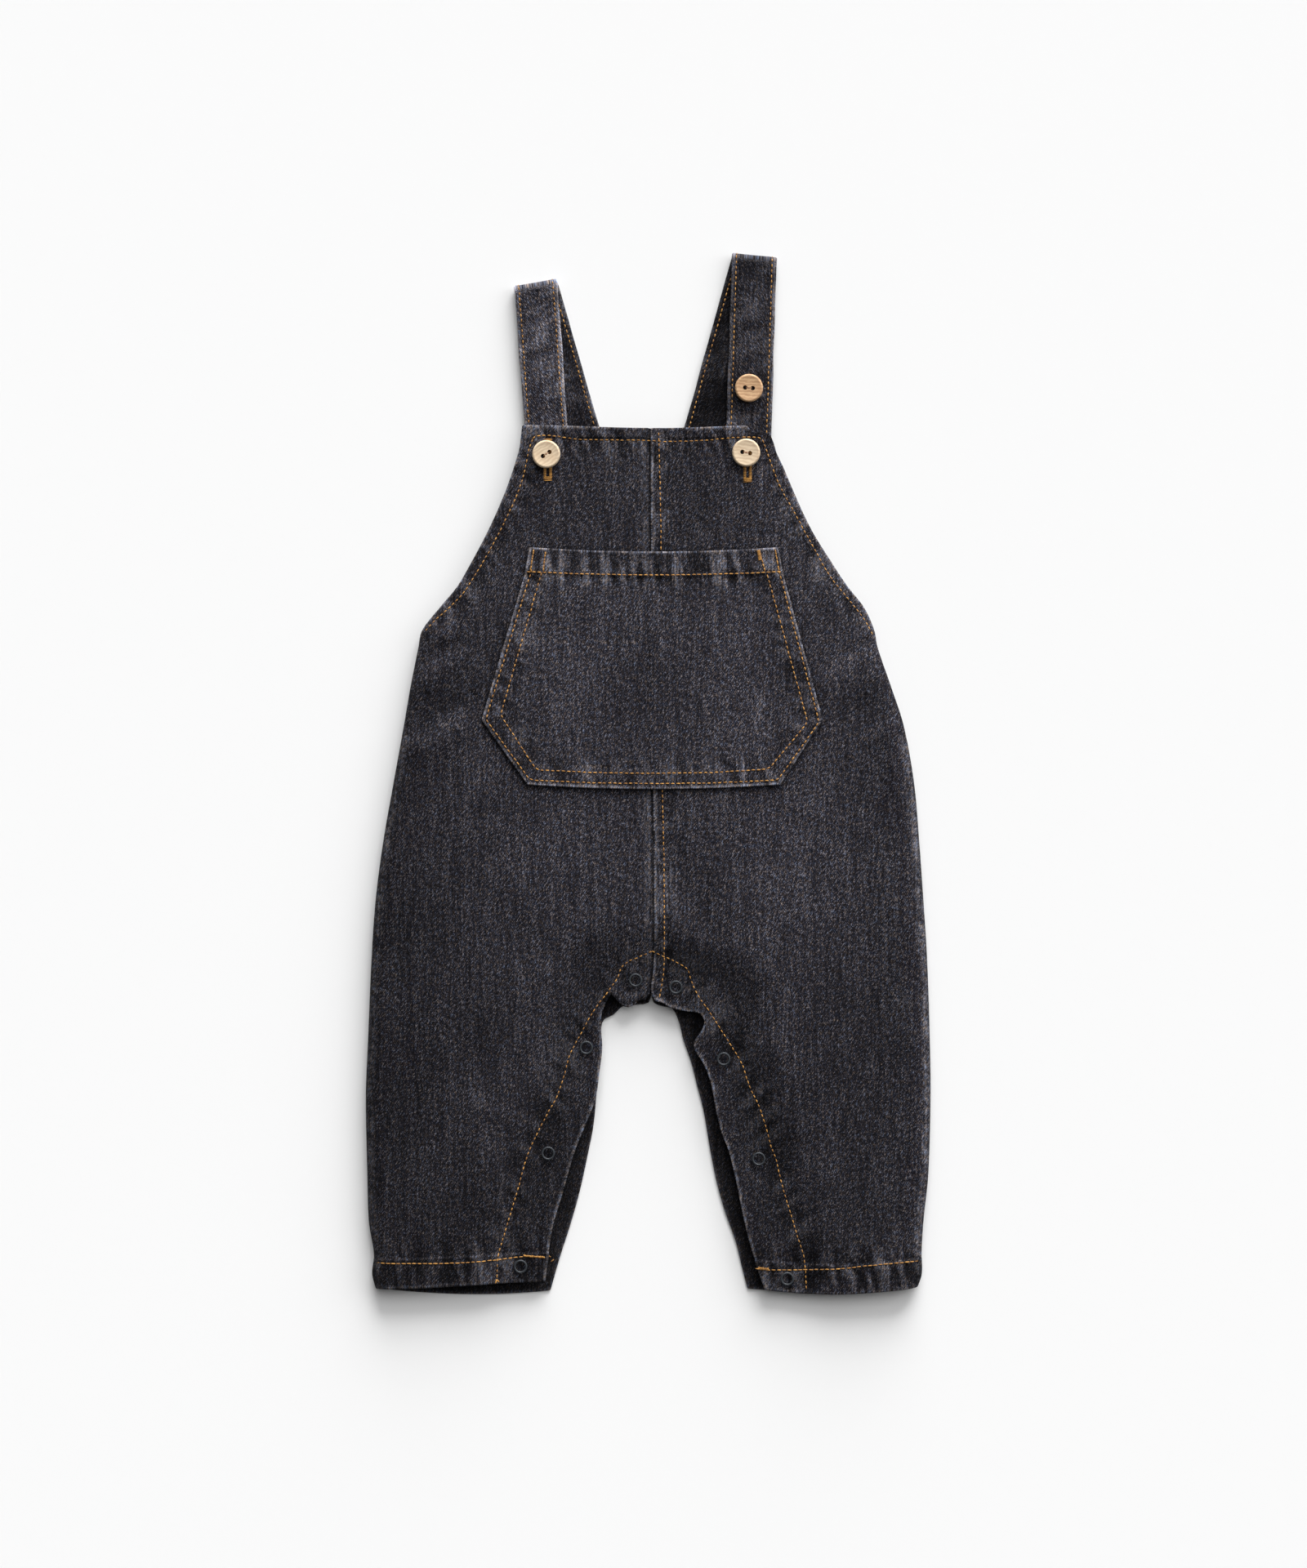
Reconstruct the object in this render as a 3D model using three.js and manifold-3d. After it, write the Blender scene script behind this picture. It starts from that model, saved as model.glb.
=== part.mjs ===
// Baby's denim dungarees, laid flat on a table with the front up.
// Millimetres. +X is to the right and +Y towards the straps as seen from above, +Z is up from the table.
// Left and right are as seen from above. In the tables, y runs up from the leg hems.

import * as THREE from 'three';
import { mergeVertices } from 'three/addons/utils/BufferGeometryUtils.js';
import Module from 'manifold-3d';

const wasm = await Module();
wasm.setup();

// Driving dimensions

const MIDDLE_Y = 280.4; // halfway between the leg hems and the higher strap fold
const CLOTH = 1.2; // one layer of denim
const GAP = 0.3; // between two pieces

const HEM_DEPTH = 15; // turned leg hem
const HEM_LIFT = 0.8; // what the turned layers add
const TURNING = 5.8; // turned edge of the bib and armholes
const TURNING_LIFT = 0.5;
const FELL_WIDTH = 5.6; // felled seam down the centre front
const FELL_LIFT = 0.6;
const STEP = 0.8; // run over which a turned layer ends
const BIB_RISE = 0.4; // its top edge sags between the straps
const BIB_DIP = 1.2;
const BIB_STRAIGHT = 440; // y below which the sections run straight across
const BIB_FULL = 460; // y above which they sag in full
const BIB_FIRST = 18; // from the bib's top to the first section below its turning
const FELL_END = 150; // y below which there is no felled seam

const PLACKET = 24; // faced strip along the crotch and inner legs
const PLACKET_RUN = 18; // from the strip up to the full height of the leg
const PLACKET_EASE = 6; // this much of that rise lies within the strip
const PLACKET_Z = 5.25; // middle of the cloth at a closed snap
const GAPE = 1.5; // lift of the strip between two snaps
const GAPE_REACH = 12; // distance from a snap at which it is nearly full

const STRAP_THICKNESS = 2.2;
const FOLD_RADIUS = 1.6; // middle of the strap over the shoulder
const STRAP_LAP = 11; // sewn on the inside of the back
const LAP_LEAD = 2; // run of the lap past the back's top edge
const LAP_RISE = 8; // run in which the strap comes up to the lap
const SETTLE = 30; // run in which the front run comes down from the fold
const STRAP_EDGE = 0.6; // bevel along each edge
const STRAP_CLEARANCE = 0.4; // between the two runs
const REST_Z = STRAP_THICKNESS / 2;
const TOP_Z = REST_Z + 2 * FOLD_RADIUS;
const FRONT_STRAP_Z = REST_Z + STRAP_THICKNESS + STRAP_CLEARANCE;

const POCKET_HEM = 13;
const POCKET_HEM_LIFT = 0.5;
const POCKET_FIRST = 10; // from the hem's line to the first section below it
const POCKET_PUFF = 0.9; // how far the mouth stands open in its middle
const POCKET_CLEARANCE = GAP + 0.15; // between the pocket and the front
const POCKET_MARGIN = 0.6; // the hem's lift starts this far below the mouth

const BUTTON_RADIUS = 7.5;
const BUTTON_THICKNESS = 2.8;
const BUTTON_BEVEL = 0.9;
const BUTTON_DISH = 0.5; // depth of the middle of its face
const BUTTON_HOLE_RADIUS = 0.8;
const BUTTON_HOLE_SPACING = 4.1;
const BUTTONHOLE_WIDTH = 2.6;
const BUTTONHOLE_LENGTH = 17;
const THREAD_RADIUS = 0.45;
const THREAD_BAR = 0.6; // height of the bar between the holes, and of its middle over the face
const THREAD_TIE = 0.4; // the same below the button
const THREAD_JOIN = 0.3; // where the legs and the shank meet, below the button
const SHANK_RADIUS = 0.5;
const SHANK_SHOWING = 0.9; // between the button and what it is over

const SNAP_RADIUS = 3.7;
const SNAP_RIM = 1.2;
const SNAP_CAP_HEIGHT = 0.9;

// Profile of a button from the middle of its foot: distance in from its radius, and height.
const BUTTON_PROFILE = [
  { inset: BUTTON_RADIUS, height: 0 },
  { inset: 1.1, height: 0 },
  { inset: 0, height: BUTTON_BEVEL },
  { inset: 0, height: BUTTON_THICKNESS - BUTTON_BEVEL },
  { inset: 0.8, height: BUTTON_THICKNESS },
  { inset: 3.1, height: BUTTON_THICKNESS - 0.15 },
  { inset: 3.9, height: BUTTON_THICKNESS - BUTTON_DISH },
  { inset: BUTTON_RADIUS, height: BUTTON_THICKNESS - BUTTON_DISH },
];
// Profile of a closed socket and stud: distance in from its radius, and share of its height.
const SNAP_BODY_PROFILE = [
  { inset: SNAP_RADIUS, share: 0 },
  { inset: 0, share: 0 },
  { inset: 0, share: 0.25 },
  { inset: 1.2, share: 0.4 },
  { inset: 0.2, share: 0.55 },
  { inset: 0.2, share: 1 },
  { inset: SNAP_RADIUS, share: 1 },
];

// Outer edge: bib corner, armhole, underarm at 357, side seam, hem. The back's own armhole is below.
const OUTER_EDGE = [
  { y: 466.6, left: -67.6, right: 65.4 },
  { y: 461, left: -68.2, right: 67.4 },
  { y: 453, left: -69.4, right: 69.4 },
  { y: 432, left: -76.4, right: 77.8 },
  { y: 411, left: -85.6, right: 87.6 },
  { y: 390, left: -96.8, right: 100.6 },
  { y: 380, left: -102.8, right: 107.4 },
  { y: 369, left: -112.0, right: 116.0 },
  { y: 357, left: -121.4, right: 121.4 },
  { y: 348, left: -123.4, right: 123.2 },
  { y: 327, left: -127.6, right: 130.4 },
  { y: 306, left: -131.2, right: 137.2 },
  { y: 275, left: -136.8, right: 142.8 },
  { y: 243, left: -142.4, right: 145.6 },
  { y: 212, left: -146.4, right: 147.8 },
  { y: 180, left: -148.6, right: 149.8 },
  { y: 138, left: -150.4, right: 151.2 },
  { y: 107, left: -151.6, right: 151.6 },
  { y: 65, left: -150.8, right: 150.4 },
  { y: 40, left: -150.0, right: 147.8 },
  { y: 22, left: -147.2, right: 146.8 },
  { y: 12, left: -148.1, right: 146.8 },
  { y: 4, left: -146.2, right: 144.2 },
];

const BACK_TOP = 402;
const UNDERARM = 357;
const BACK_ARMHOLE = [
  { y: BACK_TOP, left: -40, right: 35 },
  { y: 392, left: -58, right: 53 },
  { y: 377, left: -83, right: 79 },
  { y: 364, left: -104, right: 101 },
  { y: UNDERARM, left: -121.4, right: 121.4 },
];

const CENTRE_SEAM = [
  { y: 466.6, front: 1.2, back: -3.5 },
  { y: 400, front: 1.4, back: -3.5 },
  { y: 272, front: 2.5, back: -1 },
  { y: 183, front: 3.2, back: 1 },
  { y: 158, front: 0.6, back: 1.5 },
];

// Free inner edges of the legs, below the crotch.
const LEFT_INSEAM = [
  { y: 133, front: -24.6, back: -25.6 },
  { y: 121, front: -26.0, back: -26.8 },
  { y: 106, front: -28.2, back: -28.0 },
  { y: 93, front: -33.2, back: -29.2 },
  { y: 77, front: -39.6, back: -32.2 },
  { y: 56, front: -45.6, back: -36.8 },
  { y: 38, front: -51.0, back: -41.8 },
  { y: 22, front: -53.6, back: -47.0 },
  { y: 6, front: -57.4, back: -52.2 },
];
const RIGHT_INSEAM = [
  { y: 125, front: 29.4, back: 23.2 },
  { y: 114, front: 33.6, back: 26.0 },
  { y: 100, front: 36.2, back: 29.6 },
  { y: 88, front: 39.2, back: 32.2 },
  { y: 78, front: 43.0, back: 33.4 },
  { y: 62, front: 47.0, back: 36.6 },
  { y: 46, front: 50.2, back: 41.0 },
  { y: 29, front: 54.2, back: 47.0 },
  { y: 16, front: 58.4, back: 50.2 },
  { y: 5, front: 63.0, back: 53.0 },
];

// Lower edges of the legs: y at the side seam and at the inner edge, and the sag between them.
const LEG_HEM = {
  front: { left: { outer: 4.4, inner: 8, sag: 0 }, right: { outer: 5.2, inner: 3.8, sag: 2.8 } },
  back: { left: { outer: 3.8, inner: 2.6, sag: 2.6 }, right: { outer: 5, inner: 3.6, sag: 2.4 } },
};

// y of the straight sections: the last one above the crotch and the first one of each leg. The last one of a leg is
// this far above the hem's turning.
const BODY_END = { front: 178, back: 176 };
const LEG_TOP = { front: { left: 133, right: 124 }, back: { left: 133, right: 125 } };
const LEG_END = 10;
const NEAR_SEAM = 3; // a crotch section that ends this near the middle ends at the centre seam

// Sections that fan round the crotch: x and y of the free edge, and y where each section meets the side seam.
const CROTCH = {
  front: {
    left: [
      { x: 2.0, y: 166, side: 168 },
      { x: 0.6, y: 154.5, side: 161 },
      { x: -13.0, y: 152, side: 154 },
      { x: -25.2, y: 147, side: 147 },
    ],
    right: [
      { x: 2.2, y: 166, side: 168 },
      { x: 0.9, y: 158.4, side: 162 },
      { x: 8.0, y: 157.2, side: 158 },
      { x: 12.0, y: 154.8, side: 154 },
      { x: 20.4, y: 152.8, side: 150 },
      { x: 28.2, y: 151.4, side: 147 },
      { x: 30.2, y: 147.0, side: 143 },
      { x: 25.4, y: 136.0, side: 135 },
    ],
  },
  back: {
    left: [
      { x: 1.5, y: 156.2, side: 162 },
      { x: -6.0, y: 156.2, side: 158 },
      { x: -13.8, y: 155.2, side: 154 },
      { x: -18.6, y: 150.8, side: 149 },
      { x: -24.4, y: 147.4, side: 144 },
    ],
    right: [
      { x: 1.8, y: 156.2, side: 162 },
      { x: 8.0, y: 155.2, side: 157 },
      { x: 14.2, y: 153.6, side: 151 },
      { x: 16.8, y: 146.0, side: 145 },
      { x: 18.8, y: 137.8, side: 137 },
    ],
  },
};

// Edge of the left front between its crotch tab and its leg, where the open placket leaves a notch.
const NOTCH = [
  { x: 4.0, y: 158.4 },
  { x: -4.6, y: 158.8 },
  { x: -7.6, y: 156.2 },
  { x: -11.2, y: 155.0 },
  { x: -15.8, y: 157.2 },
  { x: -19.8, y: 162.8 },
  { x: -22.6, y: 157.4 },
  { x: -25.2, y: 149.6 },
];
const NOTCH_CUT = { x: -18, y: 138 }; // lower corner of the cut, off the cloth

// The free edge of the front round the crotch's left half, as the placket's strip follows it.
const LEFT_CROTCH = [
  { x: -25.2, y: 148 },
  { x: -19.8, y: 157 },
  { x: -11.2, y: 155 },
  { x: 0.6, y: 157 },
];

// Height of the middle of the front cloth: at its outer edge, inside, and the run between them.
const FRONT_HEIGHT = [
  { y: 465, edge: 6.1, crown: 7.2, run: 18 },
  { y: 400, edge: 6.1, crown: 9.0, run: 24 },
  { y: 370, edge: 5.4, crown: 10.2, run: 18 },
  { y: 345, edge: 3.95, crown: 10.8, run: 10 },
  { y: 250, edge: 3.95, crown: 11.4, run: 9 },
  { y: 60, edge: 3.95, crown: 10.8, run: 9 },
  { y: 22, edge: 3.95, crown: 9.4, run: 8 },
  { y: 0, edge: 3.95, crown: 8.6, run: 8 },
];
const BACK_CURL = 4; // run over which the back turns up to the side seam
const BACK_EDGE = [
  { y: 400, edge: CLOTH / 2 },
  { y: 372, edge: CLOTH / 2 },
  { y: 350, edge: 3.2 },
  { y: 0, edge: 3.2 },
];

// Soft folds of the front. A negative height is a trough.
const FOLDS = [
  { x0: -128, y0: 318, x1: -100, y1: 352, width: 7, height: 1.2 },
  { x0: -130, y0: 300, x1: -92, y1: 336, width: 8, height: -1.1 },
  { x0: -134, y0: 284, x1: -98, y1: 306, width: 8, height: 0.9 },
  { x0: 122, y0: 346, x1: 92, y1: 322, width: 7, height: 1.0 },
  { x0: 132, y0: 322, x1: 104, y1: 300, width: 8, height: -0.9 },
  { x0: 10, y0: 250, x1: 44, y1: 172, width: 10, height: -1.0 },
  { x0: -8, y0: 232, x1: -46, y1: 168, width: 10, height: 0.9 },
  { x0: -52, y0: 172, x1: -96, y1: 228, width: 12, height: -0.8 },
  { x0: 58, y0: 168, x1: 100, y1: 214, width: 12, height: 0.8 },
  { x0: -122, y0: 200, x1: -128, y1: 60, width: 10, height: -0.8 },
  { x0: -86, y0: 120, x1: -98, y1: 30, width: 9, height: 0.8 },
  { x0: 124, y0: 190, x1: 122, y1: 70, width: 10, height: -0.8 },
  { x0: 88, y0: 120, x1: 96, y1: 26, width: 9, height: 0.8 },
  { x0: -60, y0: 452, x1: -44, y1: 404, width: 7, height: 0.5 },
  { x0: 60, y0: 450, x1: 48, y1: 404, width: 7, height: 0.5 },
];

// The pocket's edge at its mouth, its hem, its side corners and its bottom.
const POCKET_EDGE = [
  { y: 401.2, left: -63.4, right: 69.8, sag: 2.4 },
  { y: 387.4, left: -65.8, right: 72.4, sag: 1.0 },
  { y: 309, left: -89.0, right: 93.6, sag: 0 },
  { y: 274.4, left: -64.4, right: 70.8, sag: 2.4 },
];
// The felled seam under the pocket, as shares of the pocket's width, and the runs beside it over which the pocket
// comes down to the front.
const POCKET_FELL = { easeStart: 0.47, start: 0.49, end: 0.53, easeEnd: 0.55 };
const FELL_EASE = { before: 3, after: 4 };

// Width, middle of the shoulder fold, slants in degrees of the front run, the back run and the fold, and the end of
// the front run.
const STRAPS = {
  left: { width: 23.6, x: -60.2, y: 541.8, front: 4.1, back: 16.2, fold: 10, frontEnd: 412 },
  right: { width: 24.4, x: 56.9, y: 556.4, front: -1.8, back: -15.6, fold: -5.5, frontEnd: 433 },
};

// Corner of the right front that is turned under beside its strap.
const TURNED_CORNER = [
  { x: 51.8, y: 468 },
  { x: 55.8, y: 463.6 },
  { x: 72, y: 462.6 },
];

const BUTTONS = [
  { name: 'left', x: -54.5, y: 451.2, turn: 32, on: 'bib' },
  { name: 'right', x: 52.4, y: 452.0, turn: -9, on: 'bib' },
  { name: 'spare', x: 54.0, y: 487.0, turn: -4, on: 'strap' },
];
const BUTTONHOLES = { left: { x: -54.1, y: 448.4 }, right: { x: 52.8, y: 447.6 } };

const SNAPS = [
  { name: 'crotch_left', x: -6.8, y: 169.6 },
  { name: 'crotch_right', x: 14.8, y: 165.8 },
  { name: 'thigh_left', x: -33.2, y: 133.4 },
  { name: 'thigh_right', x: 40.4, y: 127.4 },
  { name: 'knee_left', x: -53.6, y: 76.8 },
  { name: 'knee_right', x: 59.2, y: 73.8 },
  { name: 'hem_left', x: -68.4, y: 16.2 },
  { name: 'hem_right', x: 74.5, y: 9.6 },
];

// Fineness of the solids

// Where a section has points: distances from its side edge and its inner edge, and how many lie between.
const SECTION_POINTS = {
  front: { fromSide: [0, 0.8, 2.8, 5.4, 6.4, 10, 18], fromInner: [0, 5.4, 6.6], between: 4 },
  back: { fromSide: [0, 0.5, 1.6, 4.2], fromInner: [0], between: 4 },
};
const FRONT_PITCH = 13;
const BACK_PITCH = 26;
const ARMHOLE_PITCH = 9;
const POCKET_COLUMNS = 6; // on each side of the felled seam
const STRAP_PITCH = { back: 30, settle: 10, front: 26 };
const FOLD_TURNS = 6;
const SIDES = { button: 24, buttonHole: 8, threadLeg: 8, shank: 10, snapCap: 16, snapBody: 12 };
const CORNER_SEGMENTS = 3; // of a cut's round ends
const CUT_HEIGHT = 40;
const RAY_START = 100; // height from which the pieces are looked at
const RAYS_ROUND = 16;
const RAY_RINGS = [0, 0.5, 1];

// Finishes

const DENIM = { color: 0x38363a, roughness: 0.92, metalness: 0 };
const DENIM_INSIDE = { color: 0x2c2b2f, roughness: 0.95, metalness: 0 };
const WOOD = { color: 0xcfae84, roughness: 0.55, metalness: 0 };
const THREAD = { color: 0xa5642a, roughness: 0.7, metalness: 0 };
const SNAP_METAL = { color: 0x3a4049, roughness: 0.45, metalness: 0.6 };

// Curves and distances

// x, or any other column, as a smooth function of y.
function curveOf(rows, column) {
  const rising = [...rows].sort((a, b) => a.y - b.y);
  const positions = rising.map((row) => row.y);
  const values = rising.map((row) => row[column]);
  const curve = new THREE.CubicInterpolant(positions, values, 1);
  return (y) => curve.evaluate(y)[0];
}

// A column as a function of y with straight runs between the rows.
function polylineOf(rows, column) {
  const rising = [...rows].sort((a, b) => a.y - b.y);
  const curve = new THREE.LinearInterpolant(
    rising.map((row) => row.y),
    rising.map((row) => row[column]),
    1,
  );
  return (y) => curve.evaluate(y)[0];
}

function toSegment(x, y, a, b) {
  const dx = b.x - a.x;
  const dy = b.y - a.y;
  const along = THREE.MathUtils.clamp(((x - a.x) * dx + (y - a.y) * dy) / (dx * dx + dy * dy), 0, 1);
  return { along, away: Math.hypot(x - a.x - along * dx, y - a.y - along * dy) };
}

function toLine(x, y, points) {
  let nearest = Infinity;
  for (let i = 1; i < points.length; i++) {
    nearest = Math.min(nearest, toSegment(x, y, points[i - 1], points[i]).away);
  }
  return nearest;
}

const outerEdge = { left: curveOf(OUTER_EDGE, 'left'), right: curveOf(OUTER_EDGE, 'right') };
const backArmhole = { left: curveOf(BACK_ARMHOLE, 'left'), right: curveOf(BACK_ARMHOLE, 'right') };
const centreSeam = { front: curveOf(CENTRE_SEAM, 'front'), back: curveOf(CENTRE_SEAM, 'back') };
const inseam = {
  front: { left: curveOf(LEFT_INSEAM, 'front'), right: curveOf(RIGHT_INSEAM, 'front') },
  back: { left: curveOf(LEFT_INSEAM, 'back'), right: curveOf(RIGHT_INSEAM, 'back') },
};
const frontHeight = {
  edge: polylineOf(FRONT_HEIGHT, 'edge'),
  crown: polylineOf(FRONT_HEIGHT, 'crown'),
  run: polylineOf(FRONT_HEIGHT, 'run'),
};
const backEdge = polylineOf(BACK_EDGE, 'edge');

function inseamLine(rows, column) {
  return rows.map((row) => ({ x: row[column], y: row.y }));
}

// The whole free edge of the front, from the left hem round the crotch to the right hem.
const FREE_EDGE = [
  ...inseamLine(LEFT_INSEAM, 'front').reverse(),
  ...LEFT_CROTCH,
  ...CROTCH.front.right.slice(2).map(({ x, y }) => ({ x, y })),
  ...inseamLine(RIGHT_INSEAM, 'front'),
];

// Height of the cloth

function foldHeight(x, y) {
  return FOLDS.reduce((sum, fold) => {
    const { along, away } = toSegment(x, y, { x: fold.x0, y: fold.y0 }, { x: fold.x1, y: fold.y1 });
    const taper = Math.sin(Math.PI * THREE.MathUtils.clamp(0.1 + 0.8 * along, 0, 1));
    return sum + fold.height * taper * Math.exp(-((away / fold.width) ** 2));
  }, 0);
}

// The faced strip is held down at each snap and lifts between them.
function placketHeight(x, y) {
  const reach = Math.min(...SNAPS.map((snap) => Math.hypot(x - snap.x, y - snap.y))) / GAPE_REACH;
  return PLACKET_Z + GAPE * (1 - Math.exp(-(reach ** 2)));
}

// Middle of the front cloth.
function frontMiddle(x, y) {
  const fromSide = Math.min(x - outerEdge.left(y), outerEdge.right(y) - x) - CLOTH / 2;
  const round = THREE.MathUtils.clamp(fromSide / frontHeight.run(y), 0, 1);
  const shoulder = Math.sqrt(1 - (1 - round) ** 2);
  const edge = frontHeight.edge(y);
  const open = edge + (frontHeight.crown(y) - edge) * shoulder + foldHeight(x, y) * shoulder;
  const away = toLine(x, y, FREE_EDGE);
  const inside = THREE.MathUtils.smoothstep(away, PLACKET - PLACKET_EASE, PLACKET + PLACKET_RUN);
  return THREE.MathUtils.lerp(Math.min(placketHeight(x, y), open), open, inside);
}

// Middle of the back cloth, flat on the table but for the turn up to the side seam.
function backMiddle(x, y, side) {
  const edge = y > UNDERARM ? backArmhole[side](y) : outerEdge[side](y);
  const fromSide = Math.abs(x - edge) - CLOTH / 2;
  const round = THREE.MathUtils.clamp(1 - fromSide / BACK_CURL, 0, 1);
  return CLOTH / 2 + (backEdge(y) - CLOTH / 2) * (1 - Math.sqrt(1 - round ** 2));
}

// 1 within a turned layer that is wide from its edge, and 0 past the step where it ends.
function layer(distance, wide) {
  return 1 - THREE.MathUtils.clamp((distance - wide) / STEP, 0, 1);
}

// Solids

// A wall of cloth on a grid of middle points: rows run left to right and follow each other down the garment.
function wall(grid, thickness, lift = () => 0) {
  const rows = grid.length;
  const columns = grid[0].length;
  const count = rows * columns;
  const positions = new Float32Array(2 * count * 3);
  const down = new THREE.Vector3();
  const across = new THREE.Vector3();
  for (let i = 0; i < rows; i++) {
    for (let j = 0; j < columns; j++) {
      const point = grid[i][j];
      down.subVectors(grid[Math.min(i + 1, rows - 1)][j], grid[Math.max(i - 1, 0)][j]);
      across.subVectors(grid[i][Math.min(j + 1, columns - 1)], grid[i][Math.max(j - 1, 0)]);
      const normal = down.cross(across).normalize();
      const index = i * columns + j;
      const outside = point.clone().addScaledVector(normal, thickness / 2);
      outside.z += lift(point.x, point.y);
      outside.toArray(positions, 3 * index);
      point.clone().addScaledVector(normal, -thickness / 2).toArray(positions, 3 * (index + count));
    }
  }
  const faces = [];
  for (let i = 0; i + 1 < rows; i++) {
    for (let j = 0; j + 1 < columns; j++) {
      const a = i * columns + j;
      const b = a + columns;
      faces.push(a, b, b + 1, a, b + 1, a + 1);
      faces.push(count + b + 1, count + b, count + a, count + a + 1, count + b + 1, count + a);
    }
  }
  const rim = [];
  for (let i = 0; i < rows - 1; i++) rim.push(i * columns);
  for (let j = 0; j < columns - 1; j++) rim.push((rows - 1) * columns + j);
  for (let i = rows - 1; i > 0; i--) rim.push(i * columns + columns - 1);
  for (let j = columns - 1; j > 0; j--) rim.push(j);
  rim.forEach((a, k) => {
    const b = rim[(k + 1) % rim.length];
    faces.push(count + a, count + b, b, count + a, b, a);
  });
  const geometry = new THREE.BufferGeometry();
  geometry.setAttribute('position', new THREE.BufferAttribute(positions, 3));
  geometry.setIndex(faces);
  return geometry;
}

function solidOf(geometry) {
  const bare = geometry.clone();
  bare.deleteAttribute('normal');
  bare.deleteAttribute('uv');
  const merged = mergeVertices(bare);
  return new wasm.Manifold(
    new wasm.Mesh({
      numProp: 3,
      vertProperties: merged.attributes.position.array,
      triVerts: new Uint32Array(merged.index.array),
    }),
  );
}

function geometryOf(solid) {
  const mesh = solid.getMesh();
  const geometry = new THREE.BufferGeometry();
  geometry.setAttribute('position', new THREE.BufferAttribute(mesh.vertProperties, 3));
  geometry.setIndex(new THREE.BufferAttribute(mesh.triVerts, 1));
  return geometry;
}

// An upright prism through the cloth, for cutting it.
function cutter(shape) {
  const options = { depth: CUT_HEIGHT, bevelEnabled: false, curveSegments: CORNER_SEGMENTS };
  return solidOf(new THREE.ExtrudeGeometry(shape, options));
}

function node(name, geometry, finish) {
  const mesh = new THREE.Mesh(geometry, new THREE.MeshStandardMaterial(finish));
  mesh.name = name;
  return mesh;
}

// Grids of the panels

// Equal steps from the first value to the last, both kept.
function steps(first, last, pitch) {
  const count = Math.max(1, Math.round(Math.abs(last - first) / pitch));
  return Array.from({ length: count + 1 }, (_, k) => first + ((last - first) * k) / count);
}

// Distances from the side edge at which a section of this width has a point.
function across(width, { fromSide, fromInner, between }) {
  const left = width - fromSide.at(-1) - fromInner.at(-1);
  const shares = Array.from({ length: between }, (_, k) => (k + 1) / (between + 1));
  const middle = shares.map((share) => fromSide.at(-1) + left * share);
  return [...fromSide, ...middle, ...fromInner.map((distance) => width - distance).reverse()];
}

// A section from the side edge to the inner edge, ordered from left to right.
function section(side, outer, inner, sag, spread, height) {
  const width = Math.hypot(inner.x - outer.x, inner.y - outer.y);
  const points = across(width, spread).map((distance) => {
    const share = distance / width;
    const x = outer.x + (inner.x - outer.x) * share;
    const y = outer.y + (inner.y - outer.y) * share - 4 * sag * share * (1 - share);
    return new THREE.Vector3(x, y, height(x, y));
  });
  return side === 'left' ? points : points.reverse();
}

// Shifts an edge inwards by half the cloth, so that the wall's outside lies on the measured edge.
function shifted(x, side) {
  return x + (side === 'left' ? CLOTH / 2 : -CLOTH / 2);
}

// 1 at the top edge of the bib and 0 below it, where the sections run straight across.
function bib(y) {
  return THREE.MathUtils.smoothstep(y, BIB_STRAIGHT, BIB_FULL);
}

// How far a section's inner end stands from the centre line, where it ends there.
function gapAt(x, side) {
  if (Math.abs(x) >= NEAR_SEAM) return 0;
  return side === 'left' ? -GAP / 2 : GAP / 2;
}

function frontPanel(side) {
  const seamGap = gapAt(0, side);
  const top = OUTER_EDGE[0].y;
  const body = [
    top,
    top - TURNING,
    top - TURNING - STEP,
    ...steps(top - BIB_FIRST, UNDERARM, FRONT_PITCH),
    ...steps(UNDERARM, BODY_END.front, FRONT_PITCH).slice(1),
  ];
  const legs = steps(LEG_TOP.front[side], HEM_DEPTH + LEG_END, FRONT_PITCH);
  const edge = LEG_HEM.front[side];
  const hem = [HEM_DEPTH + STEP, HEM_DEPTH, HEM_DEPTH / 2, 0];
  const place = (outerY, inner, sag = 0) =>
    section(
      side,
      { x: shifted(outerEdge[side](outerY), side), y: outerY },
      inner,
      sag,
      SECTION_POINTS.front,
      frontMiddle,
    );
  const grid = [
    ...body.map((y) => {
      const inner = { x: centreSeam.front(y) + seamGap, y: y - BIB_DIP * bib(y) };
      return place(y + BIB_RISE * bib(y), inner);
    }),
    ...CROTCH.front[side].map((row) => place(row.side, { x: row.x + gapAt(row.x, side), y: row.y })),
    ...legs.map((y) => place(y, { x: inseam.front[side](y), y })),
    ...hem.map((up) => {
      const y = edge.inner + up;
      return place(edge.outer + up, { x: inseam.front[side](y), y }, edge.sag);
    }),
  ];
  const lift = (x, y) => {
    const fromSeam = x - centreSeam.front(y);
    const fromEdge = Math.min(top - y, Math.abs(x - outerEdge[side](y)));
    const felled = side === 'right' && y > FELL_END && fromSeam >= 0;
    const fell = felled ? FELL_LIFT * layer(fromSeam, FELL_WIDTH) : 0;
    const hemmed = y < 2 * HEM_DEPTH ? HEM_LIFT * layer(y - hemLine(side, x), HEM_DEPTH) : 0;
    const turned = y > UNDERARM ? TURNING_LIFT * layer(fromEdge, TURNING) : 0;
    return Math.max(fell, hemmed, turned);
  };
  return wall(grid, CLOTH, lift);
}

// y of a front leg's lower edge.
function hemLine(side, x) {
  const { outer, inner, sag } = LEG_HEM.front[side];
  const outerX = outerEdge[side](outer);
  const share = (x - outerX) / (inseam.front[side](inner) - outerX);
  return outer + (inner - outer) * share - 4 * sag * share * (1 - share);
}

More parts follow.
